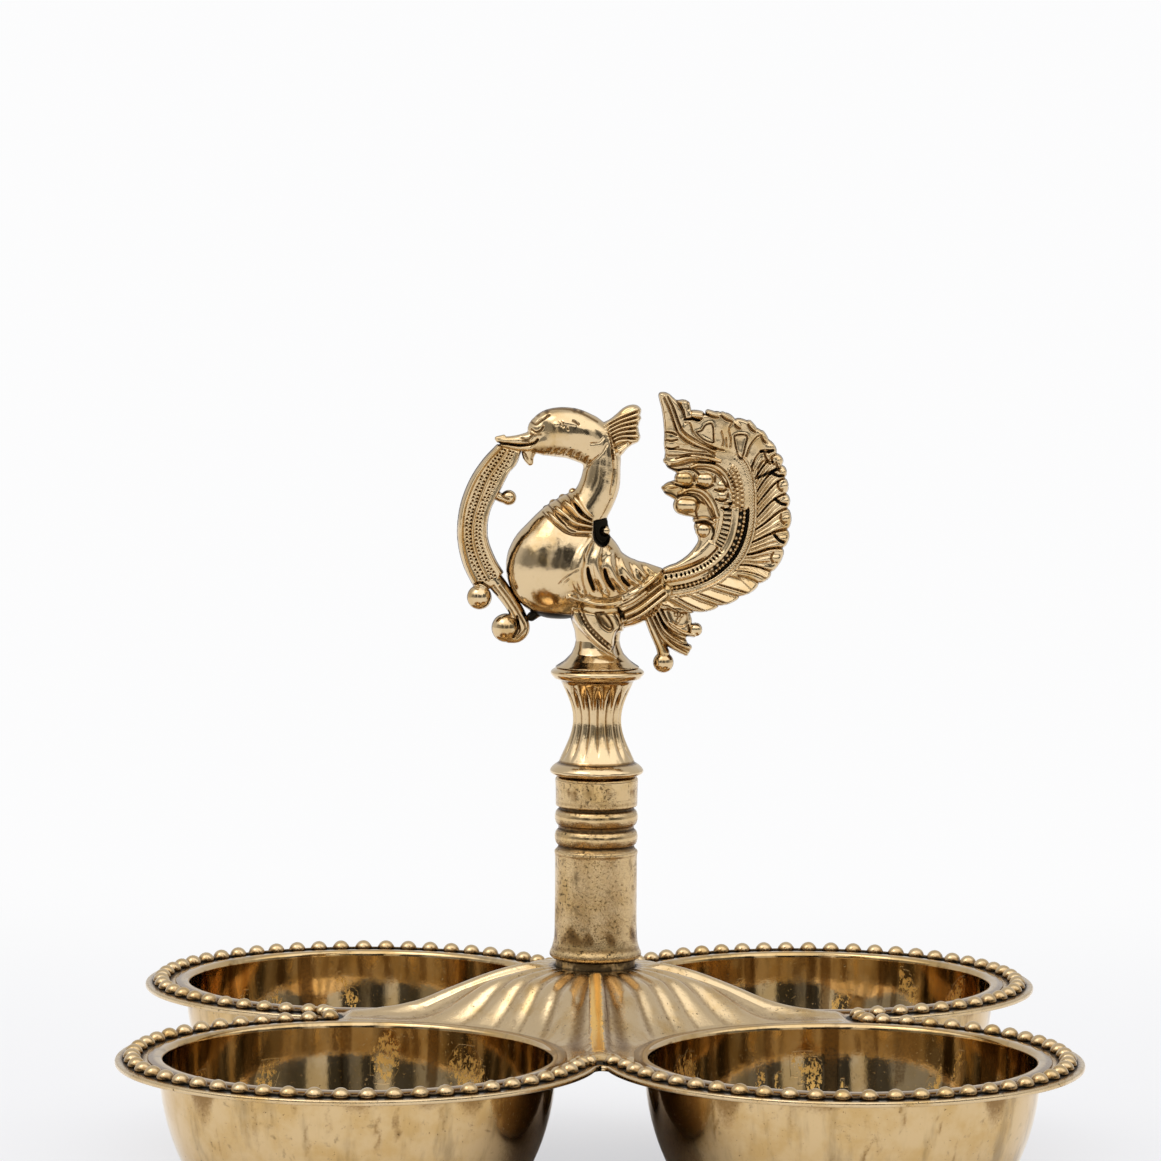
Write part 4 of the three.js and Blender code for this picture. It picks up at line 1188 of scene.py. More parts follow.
def bird_relief(step):
    r = Relief((-16.4, 52.2), (11.8, 93.6), step)
    # breast, belly and rump
    r.limb([(-5.6, 68.1, 7.9, 6.2), (-2.8, 67.7, 7.0, 6.0), (-0.5, 67.2, 5.2, 5.4), (2.5, 66.5, 3.9, 4.4),
            (5.0, 66.3, 3.0, 3.4), (7.0, 66.7, 2.1, 2.5), (9.0, 67.0, 1.2, 1.5)], blend=1.2, per_span=18)
    # breast drawn up into the neck
    r.limb([(-5.6, 68.1, 7.9, 6.2), (-4.2, 72.0, 6.2, 5.6), (-2.8, 75.0, 4.4, 4.3), (-1.7, 76.4, 3.4, 3.7),
            (-0.5, 78.2, 3.1, 3.3), (0.45, 80.5, 3.0, 2.95), (0.75, 83.0, 2.8, 2.8), (0.7, 85.0, 2.8, 2.7),
            (-0.3, 87.3, 2.75, 2.8), (-2.0, 88.2, 2.75, 2.9)], blend=1.0, per_span=18)
    # head, jaw and throat
    r.limb([(-8.0, 88.5, 2.45, 2.3), (-6.3, 88.3, 3.6, 3.0), (-4.0, 88.2, 3.75, 3.1), (-1.8, 87.8, 3.3, 2.9)],
           blend=0.6, per_span=14)
    r.limb([(-9.4, 86.3, 1.1, 1.5), (-7.7, 86.5, 1.75, 2.2), (-5.2, 86.45, 1.8, 2.5), (-3.4, 86.1, 2.0, 2.6),
            (-1.2, 85.4, 2.1, 2.6)], blend=0.9, per_span=14)
    r.settle(0.5)
    for k in range(6):
        foot = (-8.0 + 1.15 * k, 84.9 - 0.1 * k * max(k - 3, 0))
        r.raise_line([(foot[0], foot[1], 0.5), (foot[0] + 0.5, foot[1] + 1.1, 0.3)], 0.5, 0.16)
        r.raise_line([(foot[0] + 0.55, foot[1] - 0.1), (foot[0] + 0.9, foot[1] + 0.8)], 0.22, -0.16, dark=0.45)
    # the second row is a painted shade under the jaw: a dark band with no height
    r.raise_lines(
        ([(-2.1, 82.6), (-0.6, 84.1), (0.6, 85.3), (1.4, 86.6)], 0.3, -0.18, 0.35),
        ([(-9.2, 85.7), (-6.2, 85.9), (-3.4, 85.4), (-1.4, 84.0)], 1.1, 0, 0.4),
        ([(-10.0, 90.2), (-8.4, 91.3), (-6.4, 91.8), (-4.0, 91.7), (-1.8, 90.9), (0.0, 89.9)], 0.3, 0, 0.6),
        ([(-1.0, 86.7), (0.2, 86.9), (0.9, 87.6)], 0.25, -0.12, 0.25),
    )
    # beak
    r.limb([(-9.3, 87.3, 1.3, 1.7), (-11.5, 87.0, 0.9, 1.2), (-13.4, 86.9, 0.7, 0.9), (-14.5, 87.0, 0.65, 0.7)],
           blend=0.35)
    r.limb([(-9.2, 86.0, 0.7, 1.4), (-11.6, 85.9, 0.55, 1.1), (-14.2, 86.3, 0.45, 0.8)], blend=0.15)
    r.limb([(-15.0, 87.25, 0.36, 0.6), (-14.0, 87.5, 0.36, 0.6)], blend=0.1)
    r.raise_lines(
        ([(-14.9, 86.6), (-13.6, 86.5), (-11.6, 86.3), (-9.6, 86.6), (-8.9, 87.2)], 0.26, -0.5, 0.85),
        ([(-11.4, 87.4), (-10.4, 87.2), (-9.7, 87.8)], 0.26, -0.2, 0.8),
        ([(-11.2, 87.0), (-10.2, 86.9)], 0.22, -0.15, 0.8),
    )
    # pedestal
    height = [52.0, 53.0, 53.5, 54.0, 55.0, 56.0, 57.0, 58.5, 60.0, 62.0, 66.0]
    waist = [7.0, 6.4, 5.6, 4.9, 3.95, 3.5, 3.3, 3.5, 4.0, 4.4, 4.4]
    z, x = r.z[None, :], r.x[:, None]
    inside = np.interp(z, height, waist) ** 2 - (x - DRAWING_LEFT) ** 2
    cone = np.where(z < PEDESTAL_TOP, signed_root(inside), NO_METAL)
    r.height = soft_max(r.height, cone, 0.5)
    # a hollow behind the neck, black with painted shade, with a small knob
    r.limb([(0.9, 75.2, 0.7, 0.7), (1.1, 73.6, 0.75, 0.7), (0.9, 72.2, 0.7, 0.7)], blend=0.05)
    gap, depth = r.inside_of([(-0.5, 75.2), (0.6, 75.4), (1.7, 75.4), (2.2, 73.6), (1.8, 71.9), (0.8, 71.3),
            (-0.4, 72.2), (-0.6, 73.6)], 2, 1)
    hollow = np.minimum(r.height[gap], np.maximum(0.7, r.height[gap] - 8 * depth))
    r.height[gap] = np.where(depth > 0, hollow, r.height[gap])
    r.darken(gap, unit(depth / 0.25 + 0.6))
    r.ball(1.3, 73.5, 0.72, lift=0.6)
    r.polish_off(1.3, 73.5, 0.75)
    # crest
    r.slab([(0.3, 89.5), (1.8, 90.2), (2.8, 91.0), (3.8, 91.9), (4.8, 92.4), (5.9, 92.4), (6.6, 91.7), (6.4, 90.9),
            (6.6, 90.4), (6.2, 89.6), (6.2, 88.6), (6.5, 87.6), (6.1, 86.8), (5.2, 86.4), (4.4, 85.7), (3.4, 84.6),
            (2.0, 84.6), (0.8, 86.5)], 1.3, smooth=2)
    for k in range(7):
        share = k / 6
        left = (1.2 + 0.9 * share, 89.5 - 3.0 * share)
        middle = (3.4 + 0.3 * share, 90.7 - 3.6 * share)
        right = (6.3 - 0.3 * share ** 3, 92.0 - 5.0 * share)
        r.raise_line([(*left, 0.25), (*middle, 0.42), (*right, 0.48)], 0.4, 0.34)
        if k:
            lift = np.array([0.0, 0.42])
            groove = [tuple(np.array(p) + lift) for p in (left, middle, right)]
            r.raise_line(groove, 0.22, -0.3, ends=0.1, dark=0.65)
    r.raise_line([(2.4, 86.0), (3.6, 86.5), (4.6, 87.0)], 0.24, -0.25, dark=0.5)
    r.raise_line([(2.6, 85.2), (3.6, 85.6), (4.4, 86.2)], 0.4, 0.3)
    # nape strip
    r.raise_lines(
        ([(1.9, 87.6, 0.4), (2.6, 85.6, 0.6), (3.0, 83.5, 0.6), (2.9, 80.8, 0.5), (2.4, 78.6, 0.3)], 0.7, 0.3),
        ([(1.7, 88.2), (2.1, 86.4), (2.4, 84.4)], 0.26, -0.3, 0.7),
        ([(2.4, 84.4), (2.5, 82.6), (2.2, 80.6), (2.0, 79.2)], 0.22, -0.2, 0.35),
    )
    # brow, eye and cere
    r.raise_line([(-9.9, 89.8), (-9.2, 89.5), (-8.6, 89.9), (-7.9, 90.4), (-7.2, 90.9)], 0.28, -0.3, dark=0.75)
    r.raise_line([(-9.9, 88.7), (-9.2, 88.3), (-8.5, 88.6), (-8.1, 89.2)], 0.26, -0.3, dark=0.75)
    r.ball(-9.2, 89.1, 0.45, lift=1.1)
    r.raise_line([(-10.0, 88.0), (-9.2, 87.9), (-8.4, 88.1)], 0.3, -0.1, dark=0.55)
    r.raise_line([(-6.2, 89.6, 0.5), (-5.0, 89.9, 0.6), (-3.4, 89.6, 0.5)], 0.5, 0.14)
    for x, z, dx, dz in ((-5.8, 90.0, 0.4, -0.6), (-5.4, 90.1, 0.3, -0.4), (-5.0, 89.5, -0.1, -0.3),
            (-4.5, 89.1, 0.1, -0.4)):
        r.raise_line([(x, z), (x + dx, z + dz)], 0.18, -0.14, dark=0.7)
    r.raise_line([(-3.7, 90.1), (-3.3, 89.9), (-2.8, 89.5)], 0.26, -0.2, dark=0.75)
    for spot in ((-9.8, 90.5), (-9.0, 91.0), (-7.6, 91.5), (-3.4, 91.7), (-2.4, 91.4)):
        r.dark_spot(*spot, 0.6, 0.7)
    # wattle
    r.limb([(-10.2, 85.6, 1.2, 1.0), (-10.3, 84.6, 0.85, 0.8), (-10.0, 83.7, 0.5, 0.6)], blend=0.3)
    r.raise_line([(-10.8, 85.0), (-10.4, 84.2)], 0.22, -0.25, dark=0.5)
    r.raise_line([(-9.6, 85.2), (-9.8, 84.3)], 0.22, -0.2, dark=0.4)
    # necklaces
    rows = (
        [(-3.8, 79.5), (-2.9, 78.1), (-1.9, 76.7), (-0.8, 75.7)],
        [(-5.3, 78.6), (-3.8, 77.3), (-2.5, 75.9), (-0.8, 75.0)],
        [(-6.7, 77.8), (-4.9, 76.3), (-3.2, 75.0), (-0.8, 74.4)],
        [(-7.7, 76.9), (-5.8, 75.2), (-3.8, 73.9), (-0.9, 73.6)],
    )
    for line in rows:
        r.raise_line([(x, z, 0.66 - 0.1 * k) for k, (x, z) in enumerate(line)], 0.6, 0.55)
        r.ball(line[0][0] + 0.2, line[0][1] - 0.2, 0.62, blend=0.4)
    for a, b in zip(rows, rows[1:]):
        line = [((p[0] + q[0]) / 2, (p[1] + q[1]) / 2) for p, q in zip(a, b)]
        r.raise_line(line, 0.22, -0.32, dark=0.75)
    r.raise_line([(x - 0.35, z - 0.55) for x, z in rows[3]], 0.26, -0.25, dark=0.65)
    for line in (
        [(-3.3, 77.7), (-2.8, 76.9), (-2.2, 76.2)],
        [(-6.2, 76.2), (-5.3, 75.2), (-4.6, 74.6)],
        [(-4.7, 74.5), (-3.9, 73.9), (-3.2, 73.7)],
    ):
        r.raise_line([(*line[0], 0.15), (*line[1], 0.3), (*line[2], 0.15)], 0.3, -0.35, dark=1.0)
    # wing folds with dark leaf-shaped pits between them
    folds = [
        [(-0.9, 72.6, 0.7), (-2.3, 70.2, 1.15), (-2.9, 67.2, 1.2), (-2.1, 64.4, 0.9)],
        [(0.4, 71.3, 0.6), (-0.1, 69.4, 0.95), (0.3, 67.0, 1.0), (1.4, 64.4, 0.8)],
        [(2.1, 70.4, 0.55), (2.0, 68.8, 0.85), (2.9, 66.5, 0.9), (4.2, 64.8, 0.7)],
        [(3.9, 69.6, 0.5), (4.2, 68.3, 0.75), (5.3, 66.5, 0.75), (6.4, 65.7, 0.55)],
        [(5.7, 69.2, 0.4), (6.2, 68.1, 0.6), (7.3, 66.9, 0.5)],
        [(7.2, 68.9, 0.3), (7.9, 68.0, 0.45), (8.6, 67.4, 0.35)],
    ]
    for line in folds:
        r.raise_line(line, 1, 0.68 * max(p[2] for p in line), taper=True)
        r.raise_line([line[-1][:2], (line[-1][0] + 0.05, line[-1][1] - 0.05)], 0.8, 0.3)
    for line, size in (
        ([(-1.4, 68.6), (-1.2, 67.2), (-0.7, 65.7), (-0.3, 64.6)], 0.42),
        ([(1.1, 68.4), (1.4, 67.0), (2.1, 65.6), (2.8, 64.7)], 0.4),
        ([(3.6, 67.1), (4.2, 66.2), (5.1, 65.3)], 0.36),
        ([(6.3, 67.6), (6.8, 66.8)], 0.2),
    ):
        last = len(line) - 1
        r.raise_line([(x, z, size * (0.6 if i in (0, last) else 1)) for i, (x, z) in enumerate(line)], size, -0.6,
                ends=0.12, dark=0.95)
    for line in (
        [(-1.3, 72.0), (-1.9, 70.4), (-1.6, 68.8)],
        [(0.9, 70.9), (0.7, 69.6), (1.0, 68.6)],
        [(2.9, 70.0), (2.9, 68.8), (3.4, 67.4)],
        [(4.8, 69.2), (5.1, 68.2), (5.8, 67.1)],
        [(6.6, 68.9), (7.0, 68.0), (7.7, 67.2)],
    ):
        r.raise_line(line, 0.26, -0.12, ends=0.3, dark=0.5)
    r.raise_line([(-5.7, 65.9), (-4.9, 66.8), (-4.0, 67.5), (-2.9, 68.2)], 0.2, -0.1, dark=0.45)
    r.raise_line([(-4.9, 66.1), (-4.1, 66.8)], 0.18, -0.1, dark=0.3)
    # hem
    r.raise_line([(-4.0, 63.9, 0.7), (-2.0, 63.2, 0.75), (1.0, 62.75, 0.75), (3.6, 63.1, 0.75), (6.2, 64.5, 0.72),
            (8.4, 66.2, 0.65), (9.8, 67.8, 0.5)], 0.7, 0.7)
    r.raise_line([(-3.4, 64.7), (-1.6, 64.0), (0.8, 63.6), (3.3, 63.9), (5.8, 65.2), (7.9, 66.9)], 0.24, -0.25,
            dark=0.45)
    # ribbons at the tail's root
    r.limb([(2.6, 62.4, 0.8, 3.9), (4.8, 63.1, 0.85, 3.4), (7.2, 64.6, 0.7, 2.6)], blend=0.4)
    r.limb([(3.5, 60.9, 2.2, 3.5), (6.4, 61.7, 2.0, 3.0), (10.2, 64.4, 1.6, 2.0)], blend=0.3)
    for dx, dz, size in ((-0.45, 0.95, 0.5), (0.1, 0.0, 0.55), (0.6, -0.9, 0.5)):
        r.raise_line([(4.2 + dx, 61.0 + dz, size), (6.5 + dx, 62.2 + dz, size), (9.9 + dx, 64.8 + dz, size)], size,
                0.4)
    for dx, dz in ((-0.7, 1.5), (-0.15, 0.5), (0.4, -0.45)):
        r.raise_line([(4.2 + dx, 61.0 + dz), (6.5 + dx, 62.2 + dz), (9.9 + dx, 64.8 + dz)], 0.22, -0.35, dark=0.7)
    r.raise_line([(3.4, 61.9, 0.3), (3.9, 61.2, 0.4), (4.2, 60.5, 0.3)], 0.4, -0.4, dark=0.95)
    r.raise_line([(9.9, 67.5, 0.25), (10.3, 66.4, 0.45), (10.2, 65.2, 0.3)], 0.4, -0.3, dark=0.95)
    # drape on the pedestal
    r.slab([(-3.9, 62.6), (0.0, 62.0), (3.4, 61.9), (4.1, 60.2), (4.2, 58.6), (3.2, 58.2), (2.9, 56.6), (3.4, 54.4),
            (1.9, 55.0), (0.2, 56.0), (-1.8, 57.8), (-3.2, 59.6), (-3.9, 61.0)], 4.6, edge=0.9, blend=0.2)
    r.raise_line([(-3.5, 61.9, 0.45), (-2.7, 59.9, 0.5), (-1.3, 58.1, 0.5), (0.8, 56.3, 0.45), (2.9, 54.9, 0.35)],
            0.6, 0.35)
    for dx, dz, tone in ((0.0, 0.0, 0.85), (0.5, 0.25, 0.7)):
        r.raise_line([(-2.7 + dx, 61.8 + dz), (-1.7 + dx, 59.7 + dz), (-0.3 + dx, 58.0 + dz),
                (2.0 + dx, 56.0 + dz)], 0.2, -0.25, dark=tone)
    for place in stations([(-2.6, 61.6), (-1.5, 59.8), (0.1, 58.0), (1.9, 56.6)], 0.62, 0.3):
        r.dark_spot(*place, 0.3, 0.9)
    r.sink([(-0.1, 61.4), (1.3, 61.3), (2.4, 59.6), (1.9, 58.9), (0.8, 59.7)], 0.5, dark=0.8)
    r.raise_line([(0.4, 61.1, 0.3), (1.1, 60.3, 0.5), (1.9, 59.4, 0.3)], 0.4, 0, dark=0.8)
    r.raise_line([(2.6, 61.4), (3.5, 59.6), (2.9, 58.4), (2.9, 56.9), (2.4, 56.0)], 0.22, -0.35, dark=0.85)
    # painted shadow: a black band under the belly, and a black web to the garland's arm
    r.limb([(-9.7, 60.5, 0.7, 1.0), (-8.6, 61.3, 0.8, 1.4)], blend=0.1)
    r.raise_line([(-10.2, 61.2, 0.9), (-8.0, 61.0, 1.0), (-5.5, 60.8, 0.95), (-3.9, 60.6, 0.8)], 0.6, 0, dark=1.3)
    r.dark_spot(-9.5, 60.4, 1.3)
    return r


class PUJA_OT_bird(bpy.types.Operator):
    """Casts the bird with its wing, necklaces and crest"""

    bl_idname = "puja.bird"
    bl_label = "Bird"

    def execute(self, context):
        scene = context.scene
        relief = bird_relief(scene.puja_handle.bird_grain / MM)
        cast_piece(scene, "cast_bird", "bird_body", relief, floor=PEDESTAL_BOTTOM, fall=0.7)
        return {"FINISHED"}


def plume_relief(step):
    r = Relief((6.0, 51.0), (30.6, 95.6), step)
    half = 1.1
    r.slab([(12.0, 61.6), (14.5, 61.8), (17.0, 62.5), (19.5, 63.6), (21.8, 65.1), (23.7, 66.8), (25.3, 68.3),
            (26.6, 70.2), (27.3, 72.6), (27.8, 75.0), (27.9, 77.5), (27.7, 80.0), (27.3, 82.0), (26.8, 83.8),
            (25.5, 85.4), (24.8, 86.9), (23.5, 88.2), (22.4, 88.9), (21.0, 89.2), (19.6, 90.2), (18.0, 90.8),
            (16.5, 90.9), (15.0, 91.2), (14.1, 91.6), (13.8, 92.9), (12.8, 93.3), (11.8, 93.2), (10.8, 94.1),
            (9.8, 94.4), (9.1, 94.0), (9.6, 92.0), (9.9, 90.0), (10.05, 88.0), (10.0, 86.5), (10.2, 85.3),
            (10.1, 84.2), (10.6, 83.0), (11.9, 82.3), (11.9, 81.3), (10.7, 80.9), (9.8, 80.1), (10.3, 79.0),
            (11.6, 78.3), (11.8, 77.2), (12.6, 76.0), (14.0, 75.7), (14.8, 75.3), (14.6, 74.2), (15.0, 73.1),
            (15.3, 72.2), (14.8, 71.2), (13.7, 69.9), (12.0, 68.7), (10.0, 67.9), (9.4, 66.0), (9.4, 64.0),
            (10.2, 62.4)], half, edge=0.5, smooth=2)
    # feathers grow outwards from this line, which holds their length
    quill = [(10.5, 63.6, 2.3), (14.5, 64.3, 3.2), (18.0, 65.7, 3.6), (20.6, 67.7, 4.3), (22.3, 69.9, 5.0),
            (23.3, 72.4, 5.3), (23.8, 75.0, 5.35), (23.9, 77.5, 5.1), (23.8, 80.0, 4.9), (23.3, 82.3, 5.0),
            (22.3, 84.3, 4.7), (20.5, 85.6, 4.9), (18.4, 86.0, 5.4), (16.6, 86.2, 5.3)]
    area, s, out, reach = r.beside(quill)
    t = np.clip(out / reach, 0, 1.2)
    bend = 1 - (1 - np.minimum(t, 1)) ** 2
    # how far the tips lean back, by the place along the line
    places = [0, 6, 11, 14, 16, 19, 22, 25, 28, 31, 35]
    leans = [3.9, 4.0, 2.6, 1.5, 2.4, 2.8, 3.6, 3.4, 2.2, 0.8, 0.1]
    lean = np.interp(s, places, leans)
    start = s - lean * np.where(s < 11, t, bend)
    feather_count = [-6, 11, 40], [-1.818, 3.333, 18.6]  # places along the line and the feathers up to there
    count = np.interp(start, *feather_count)
    part = count % 1
    low = unit((12.2 - start) / 0.4)  # broad blades below, ridged feathers above
    rounded = np.sqrt(unit(1 - (2 * part - 1) ** 2))
    tip = reach * (0.89 + 0.13 * rounded)
    inner = np.minimum(tip - out, out + 0.6)
    solid = half * np.sqrt(1 - (1 - unit(inner / 0.5)) ** 2)
    blade = np.where(inner >= 0, solid, -half * np.sqrt(np.maximum(-inner, 0) / 0.5))
    r.height[area] = np.maximum(r.height[area], blade)
    r.settle(0.16)
    base = r.height.copy()
    top = unit((s - 27.5) / 1.0)
    on = unit(out / 0.3) * unit((tip - out) / 0.3) * (r.height[area] > 0)
    near_split = np.minimum(part, 1 - part)
    split = hump(near_split, 0.055)
    ridges = (0.5 - 0.5 * np.cos(2 * math.pi * 3 * part)) ** 0.8
    fade = unit(1.5 - 1.35 * t)
    upper = (1 - low) * (1 - top)
    feather = 0.26 * rounded + 0.3 * fade * (ridges - 0.5) - 0.25 * split
    # each broad blade has a rounded rib and a flat face that looks up at the light
    rib = np.sqrt(unit(1 - ((part - 0.2) / 0.2) ** 2))
    face = unit((part - 0.4) / 0.04) * unit((0.96 - part) / 0.04)
    broad = 0.42 * rib + face * (0.75 - 1.55 * (part - 0.4)) - 0.1 * split
    r.height[area] += on * (upper * feather + low * broad + (1 - low) * top * 0.12)
    thin = hump(((part * 3 + 0.5) % 1) - 0.5, 0.13) * (near_split > 0.12)
    dark = on * (upper * (0.58 * split + 0.5 * fade * thin) + low * (0.45 * split + 0.5 * hump(part - 0.4, 0.035)))
    r.darken(area, unit(dark))
    # rolled tips
    line = curve(quill, 12)
    run = run_along(line)
    for k in range(4, 12):
        for stop in np.arange(11.0, 30.0, 0.02):
            if np.interp(stop - np.interp(stop, places, leans) * 0.98, *feather_count) >= k + 0.5:
                break
        x, z, far = (np.interp(stop, run, line[:, i]) for i in range(3))
        ahead, behind = (np.array([np.interp(stop + d, run, line[:, i]) for i in (0, 1)]) for d in (0.1, -0.1))
        way = (ahead - behind) / np.hypot(*(ahead - behind))
        side = np.array([way[1], -way[0]])
        knob = np.array([x, z]) + side * far * 0.86
        r.ball(*knob, 0.72, lift=0.75, blend=0.35)
        # every other knob has a deep cut behind it, and the rest a fine one
        if k % 2:
            steps, size, cut, tone = ((-1.5, 0.3), (-0.7, -0.3), (0.1, -0.55)), 0.34, -0.4, 1.0
        else:
            steps, size, cut, tone = ((-0.8, 0.7), (-0.85, -0.1), (-0.3, -0.75)), 0.24, -0.3, 0.6
        r.raise_line([tuple(knob + side * a + way * b) for a, b in steps], size, cut, dark=tone)
    # bands inside the quill
    narrow = np.interp(s, [0, 14], [0.85, 1.0])
    u = -out / narrow
    body = (r.height[area] > 0) & (s > 0.05) & (out < 0.1)

    def band(low, high, soft=0.12):
        return unit((u - low) / soft + 0.5) * unit((high - u) / soft + 0.5)

    def dots(row, gap, size, shift=0.0):
        along = ((s + shift) % gap) - gap / 2
        return unit(1 - (along ** 2 + (u - row) ** 2) / size ** 2)

    lower = unit((21.6 - s) / 0.6)
    deep = unit((s - 6.0) / 3.0) * lower
    early = unit((12.6 - s) / 0.5)
    ladder = (1 - early) * unit((22.5 - s) / 0.5)
    ends = unit((31.0 - s) / 1.0)
    beads = dots(1.4 + 0.25 * deep, 0.72, 0.38)
    punched = dots(0.4, 0.5, 0.17) + dots(0.8, 0.5, 0.17, 0.25)
    scales = dots(2.1, 0.82, 0.4) + dots(2.75, 0.82, 0.4, 0.41) + dots(3.4, 0.82, 0.38)
    rung = np.abs((s % 1) - 0.5) < 0.3
    teeth = unit(1.3 - np.abs(((s / 0.8) % 1) - 0.5) / 0.24 - np.abs(u - 3.5) / 0.45)
    delta = 0.35 * band(-0.1, 0.25) - 0.14 * band(0.25, 1.0) * punched * unit((s - 10) / 2)
    delta = delta + lower * (0.6 * beads - 0.25 * band(1.0, 1.8)) - 0.4 * deep * band(1.05, 2.5)
    delta = delta + 0.3 * lower * band(2.6, 3.2, 0.4)
    delta = delta + (1 - lower) * ends * (0.4 * scales - 0.1 * band(1.8, 3.8))
    delta = delta + ladder * band(3.7, 4.85) * np.where(rung, 0.22, -0.3)
    delta = delta + early * (-0.5 * teeth + 0.15 * band(3.0, 4.0) - 0.3 * band(4.15, 4.35))
    delta = delta + 0.3 * early * unit(1 - ((u - 5.3) / 0.8) ** 2)
    r.height[area] += delta * body * ends
    dark = np.max([
        lower * band(1.0, 1.8) * (1 - unit(beads * 2.2)),
        deep * band(1.0, 2.35 + 0.3 * np.sin(5 * s)) * (1 - unit(beads * 2.5)),
        (1 - lower) * ends * band(1.8, 3.7) * 0.6 * (1 - unit(scales * 2.2)),
        ladder * band(3.7, 4.85) * np.where(rung, 0, 0.75),
        early * np.maximum(teeth * 1.6, 0.5 * band(4.12, 4.38)),
        0.45 * band(0.25, 1.0) * punched,
        0.4 * band(0.2, 0.34) + 0.4 * lower * band(3.3, 3.45),
    ], axis=0)
    r.darken(area, unit(dark) * body)
    # cells and loops between the upper feathers
    shield = [(14.8, 88.4), (15.6, 88.7), (16.2, 89.5), (17.2, 89.6), (17.4, 87.6), (17.3, 86.9), (15.9, 87.4)]
    heart = [(20.5, 87.9), (21.3, 88.1), (22.4, 87.9), (22.2, 86.7), (21.7, 84.6), (21.3, 84.7), (20.8, 86.2)]
    for cell in (shield, heart):
        r.raise_line(cell + [cell[0]], 0.5, 0.16)
        r.sink(cell, 0.2, edge=0.25)
        r.raise_line(cell + [cell[0]], 0.2, -0.3, dark=0.75)
    for line, tone in (
        ([(23.4, 81.2), (23.2, 82.9), (23.7, 84.6), (24.7, 85.7), (25.9, 85.8)], 0.5),
        ([(24.0, 81.4), (24.2, 83.2), (25.0, 84.2), (26.3, 84.0)], 0.5),
        ([(22.3, 84.8), (22.9, 86.5), (23.9, 87.8), (24.6, 88.0)], 0.5),
        ([(19.9, 86.2), (20.0, 87.6), (19.7, 89.0), (20.2, 90.0)], 0.35),
        ([(18.7, 86.4), (18.9, 87.4), (18.6, 88.6)], 0.3),
        ([(19.4, 86.2), (19.3, 87.6)], 0.3),
        ([(13.1, 89.9), (13.9, 89.7), (14.4, 88.4), (15.8, 87.0), (17.8, 86.0)], 0.45),
    ):
        r.raise_line(line, 0.2, -0.25, dark=tone)
    r.raise_line([(24.0, 81.6, 0.2), (24.6, 81.9, 0.4), (26.2, 82.6, 0.45), (27.4, 83.1, 0.3)], 0.4, -0.3,
            dark=0.95)
    # lips rolled over along the top edge
    lips = ((14.9, 91.0, 0.85, 0.7), (17.2, 91.2, 1.05, 0.45), (19.3, 90.8, 1.0, 0.45), (21.0, 89.6, 0.6, 0.45),
            (23.1, 89.4, 0.9, 0.5), (24.9, 87.8, 0.8, 0.55), (25.5, 84.9, 1.0, 0.6), (27.1, 83.7, 0.9, 0.6))
    for x, z, long, high in lips:
        turn = -0.12 - 0.09 * (x - 15)
        dx, dz = math.cos(turn) * long * 0.6, math.sin(turn) * long * 0.6
        r.limb([(x - dx, z - dz, high, half + 0.35), (x, z, high * 1.05, half + 0.45),
                (x + dx, z + dz, high, half + 0.35)], blend=0.1)
        r.raise_line([(x - 1.5 * dx, z - 1.5 * dz - high * 0.7), (x, z - high * 1.15),
                (x + 1.5 * dx, z + 1.5 * dz - high * 0.6)], 0.22, -0.3, dark=0.7)
    # volutes on the inner side
    r.limb([(12.3, 79.2, 0.4, half + 0.4), (13.8, 80.0, 0.55, half + 0.6), (15.8, 79.6, 0.6, half + 0.65),
            (17.3, 78.0, 0.6, half + 0.6), (18.1, 75.8, 0.5, half + 0.45)], blend=0.08)
    r.raise_line([(13.6, 79.2), (15.2, 78.9), (16.5, 77.6), (17.4, 75.7)], 0.24, -0.3, dark=0.65)
    r.raise_line([(12.6, 79.6), (14.2, 80.2), (16.0, 79.8), (17.6, 78.2), (18.2, 76.6)], 0.2, -0.2, dark=0.4)
    r.sink([(14.8, 77.9), (16.1, 77.8), (17.2, 76.6), (17.6, 75.5), (15.2, 75.3)], 0.55, dark=0.5)
    r.limb([(12.9, 77.4, 1.45, half + 0.75), (14.1, 77.4, 1.35, half + 0.7)], blend=0.1)
    r.raise_line([(12.2, 78.9), (13.4, 79.0), (14.6, 78.8), (15.5, 77.9)], 0.26, -0.35, dark=0.8)
    r.limb([(14.8, 75.2, 0.4, half + 0.3), (16.2, 75.4, 0.4, half + 0.4), (17.4, 74.9, 0.4, half + 0.4)],
           blend=0.08)
    r.ball(16.0, 73.7, 1.2, lift=0.55)
    r.raise_line([(14.8, 74.8), (16.0, 74.95), (17.1, 74.5), (17.6, 73.5), (17.3, 72.4)], 0.24, -0.35, dark=0.85)
    r.raise_line([(18.1, 75.2), (17.9, 74.0), (17.5, 72.6)], 0.34, 0.3)
    r.limb([(10.0, 80.0, 0.35, 0.8), (11.2, 80.3, 0.6, half + 0.3), (13.0, 80.6, 0.5, half + 0.3),
            (14.2, 80.5, 0.4, half + 0.2)], blend=0.1)
    r.raise_line([(10.2, 79.4), (11.2, 79.2), (12.2, 78.6)], 0.4, 0, dark=0.9)
    r.raise_line([(11.0, 80.9), (12.4, 80.4), (13.6, 80.35)], 0.22, -0.25, dark=0.6)
    curls = ((13.3, 81.4, 1.15), (16.4, 81.3, 1.15), (18.7, 80.4, 0.8), (18.8, 78.9, 0.75), (19.4, 77.5, 0.55))
    for x, z, size in curls:
        r.ball(x, z, size, lift=0.65, blend=0.1)
        if size > 1:
            r.ball(x - 0.6, z + 0.05, size * 0.92, lift=0.62, blend=0.1)
        r.raise_line([(x - size * 1.3, z - size * 0.7), (x, z - size * 1.1), (x + size * 0.9, z - size * 0.7)],
                0.24, -0.35, dark=0.75)
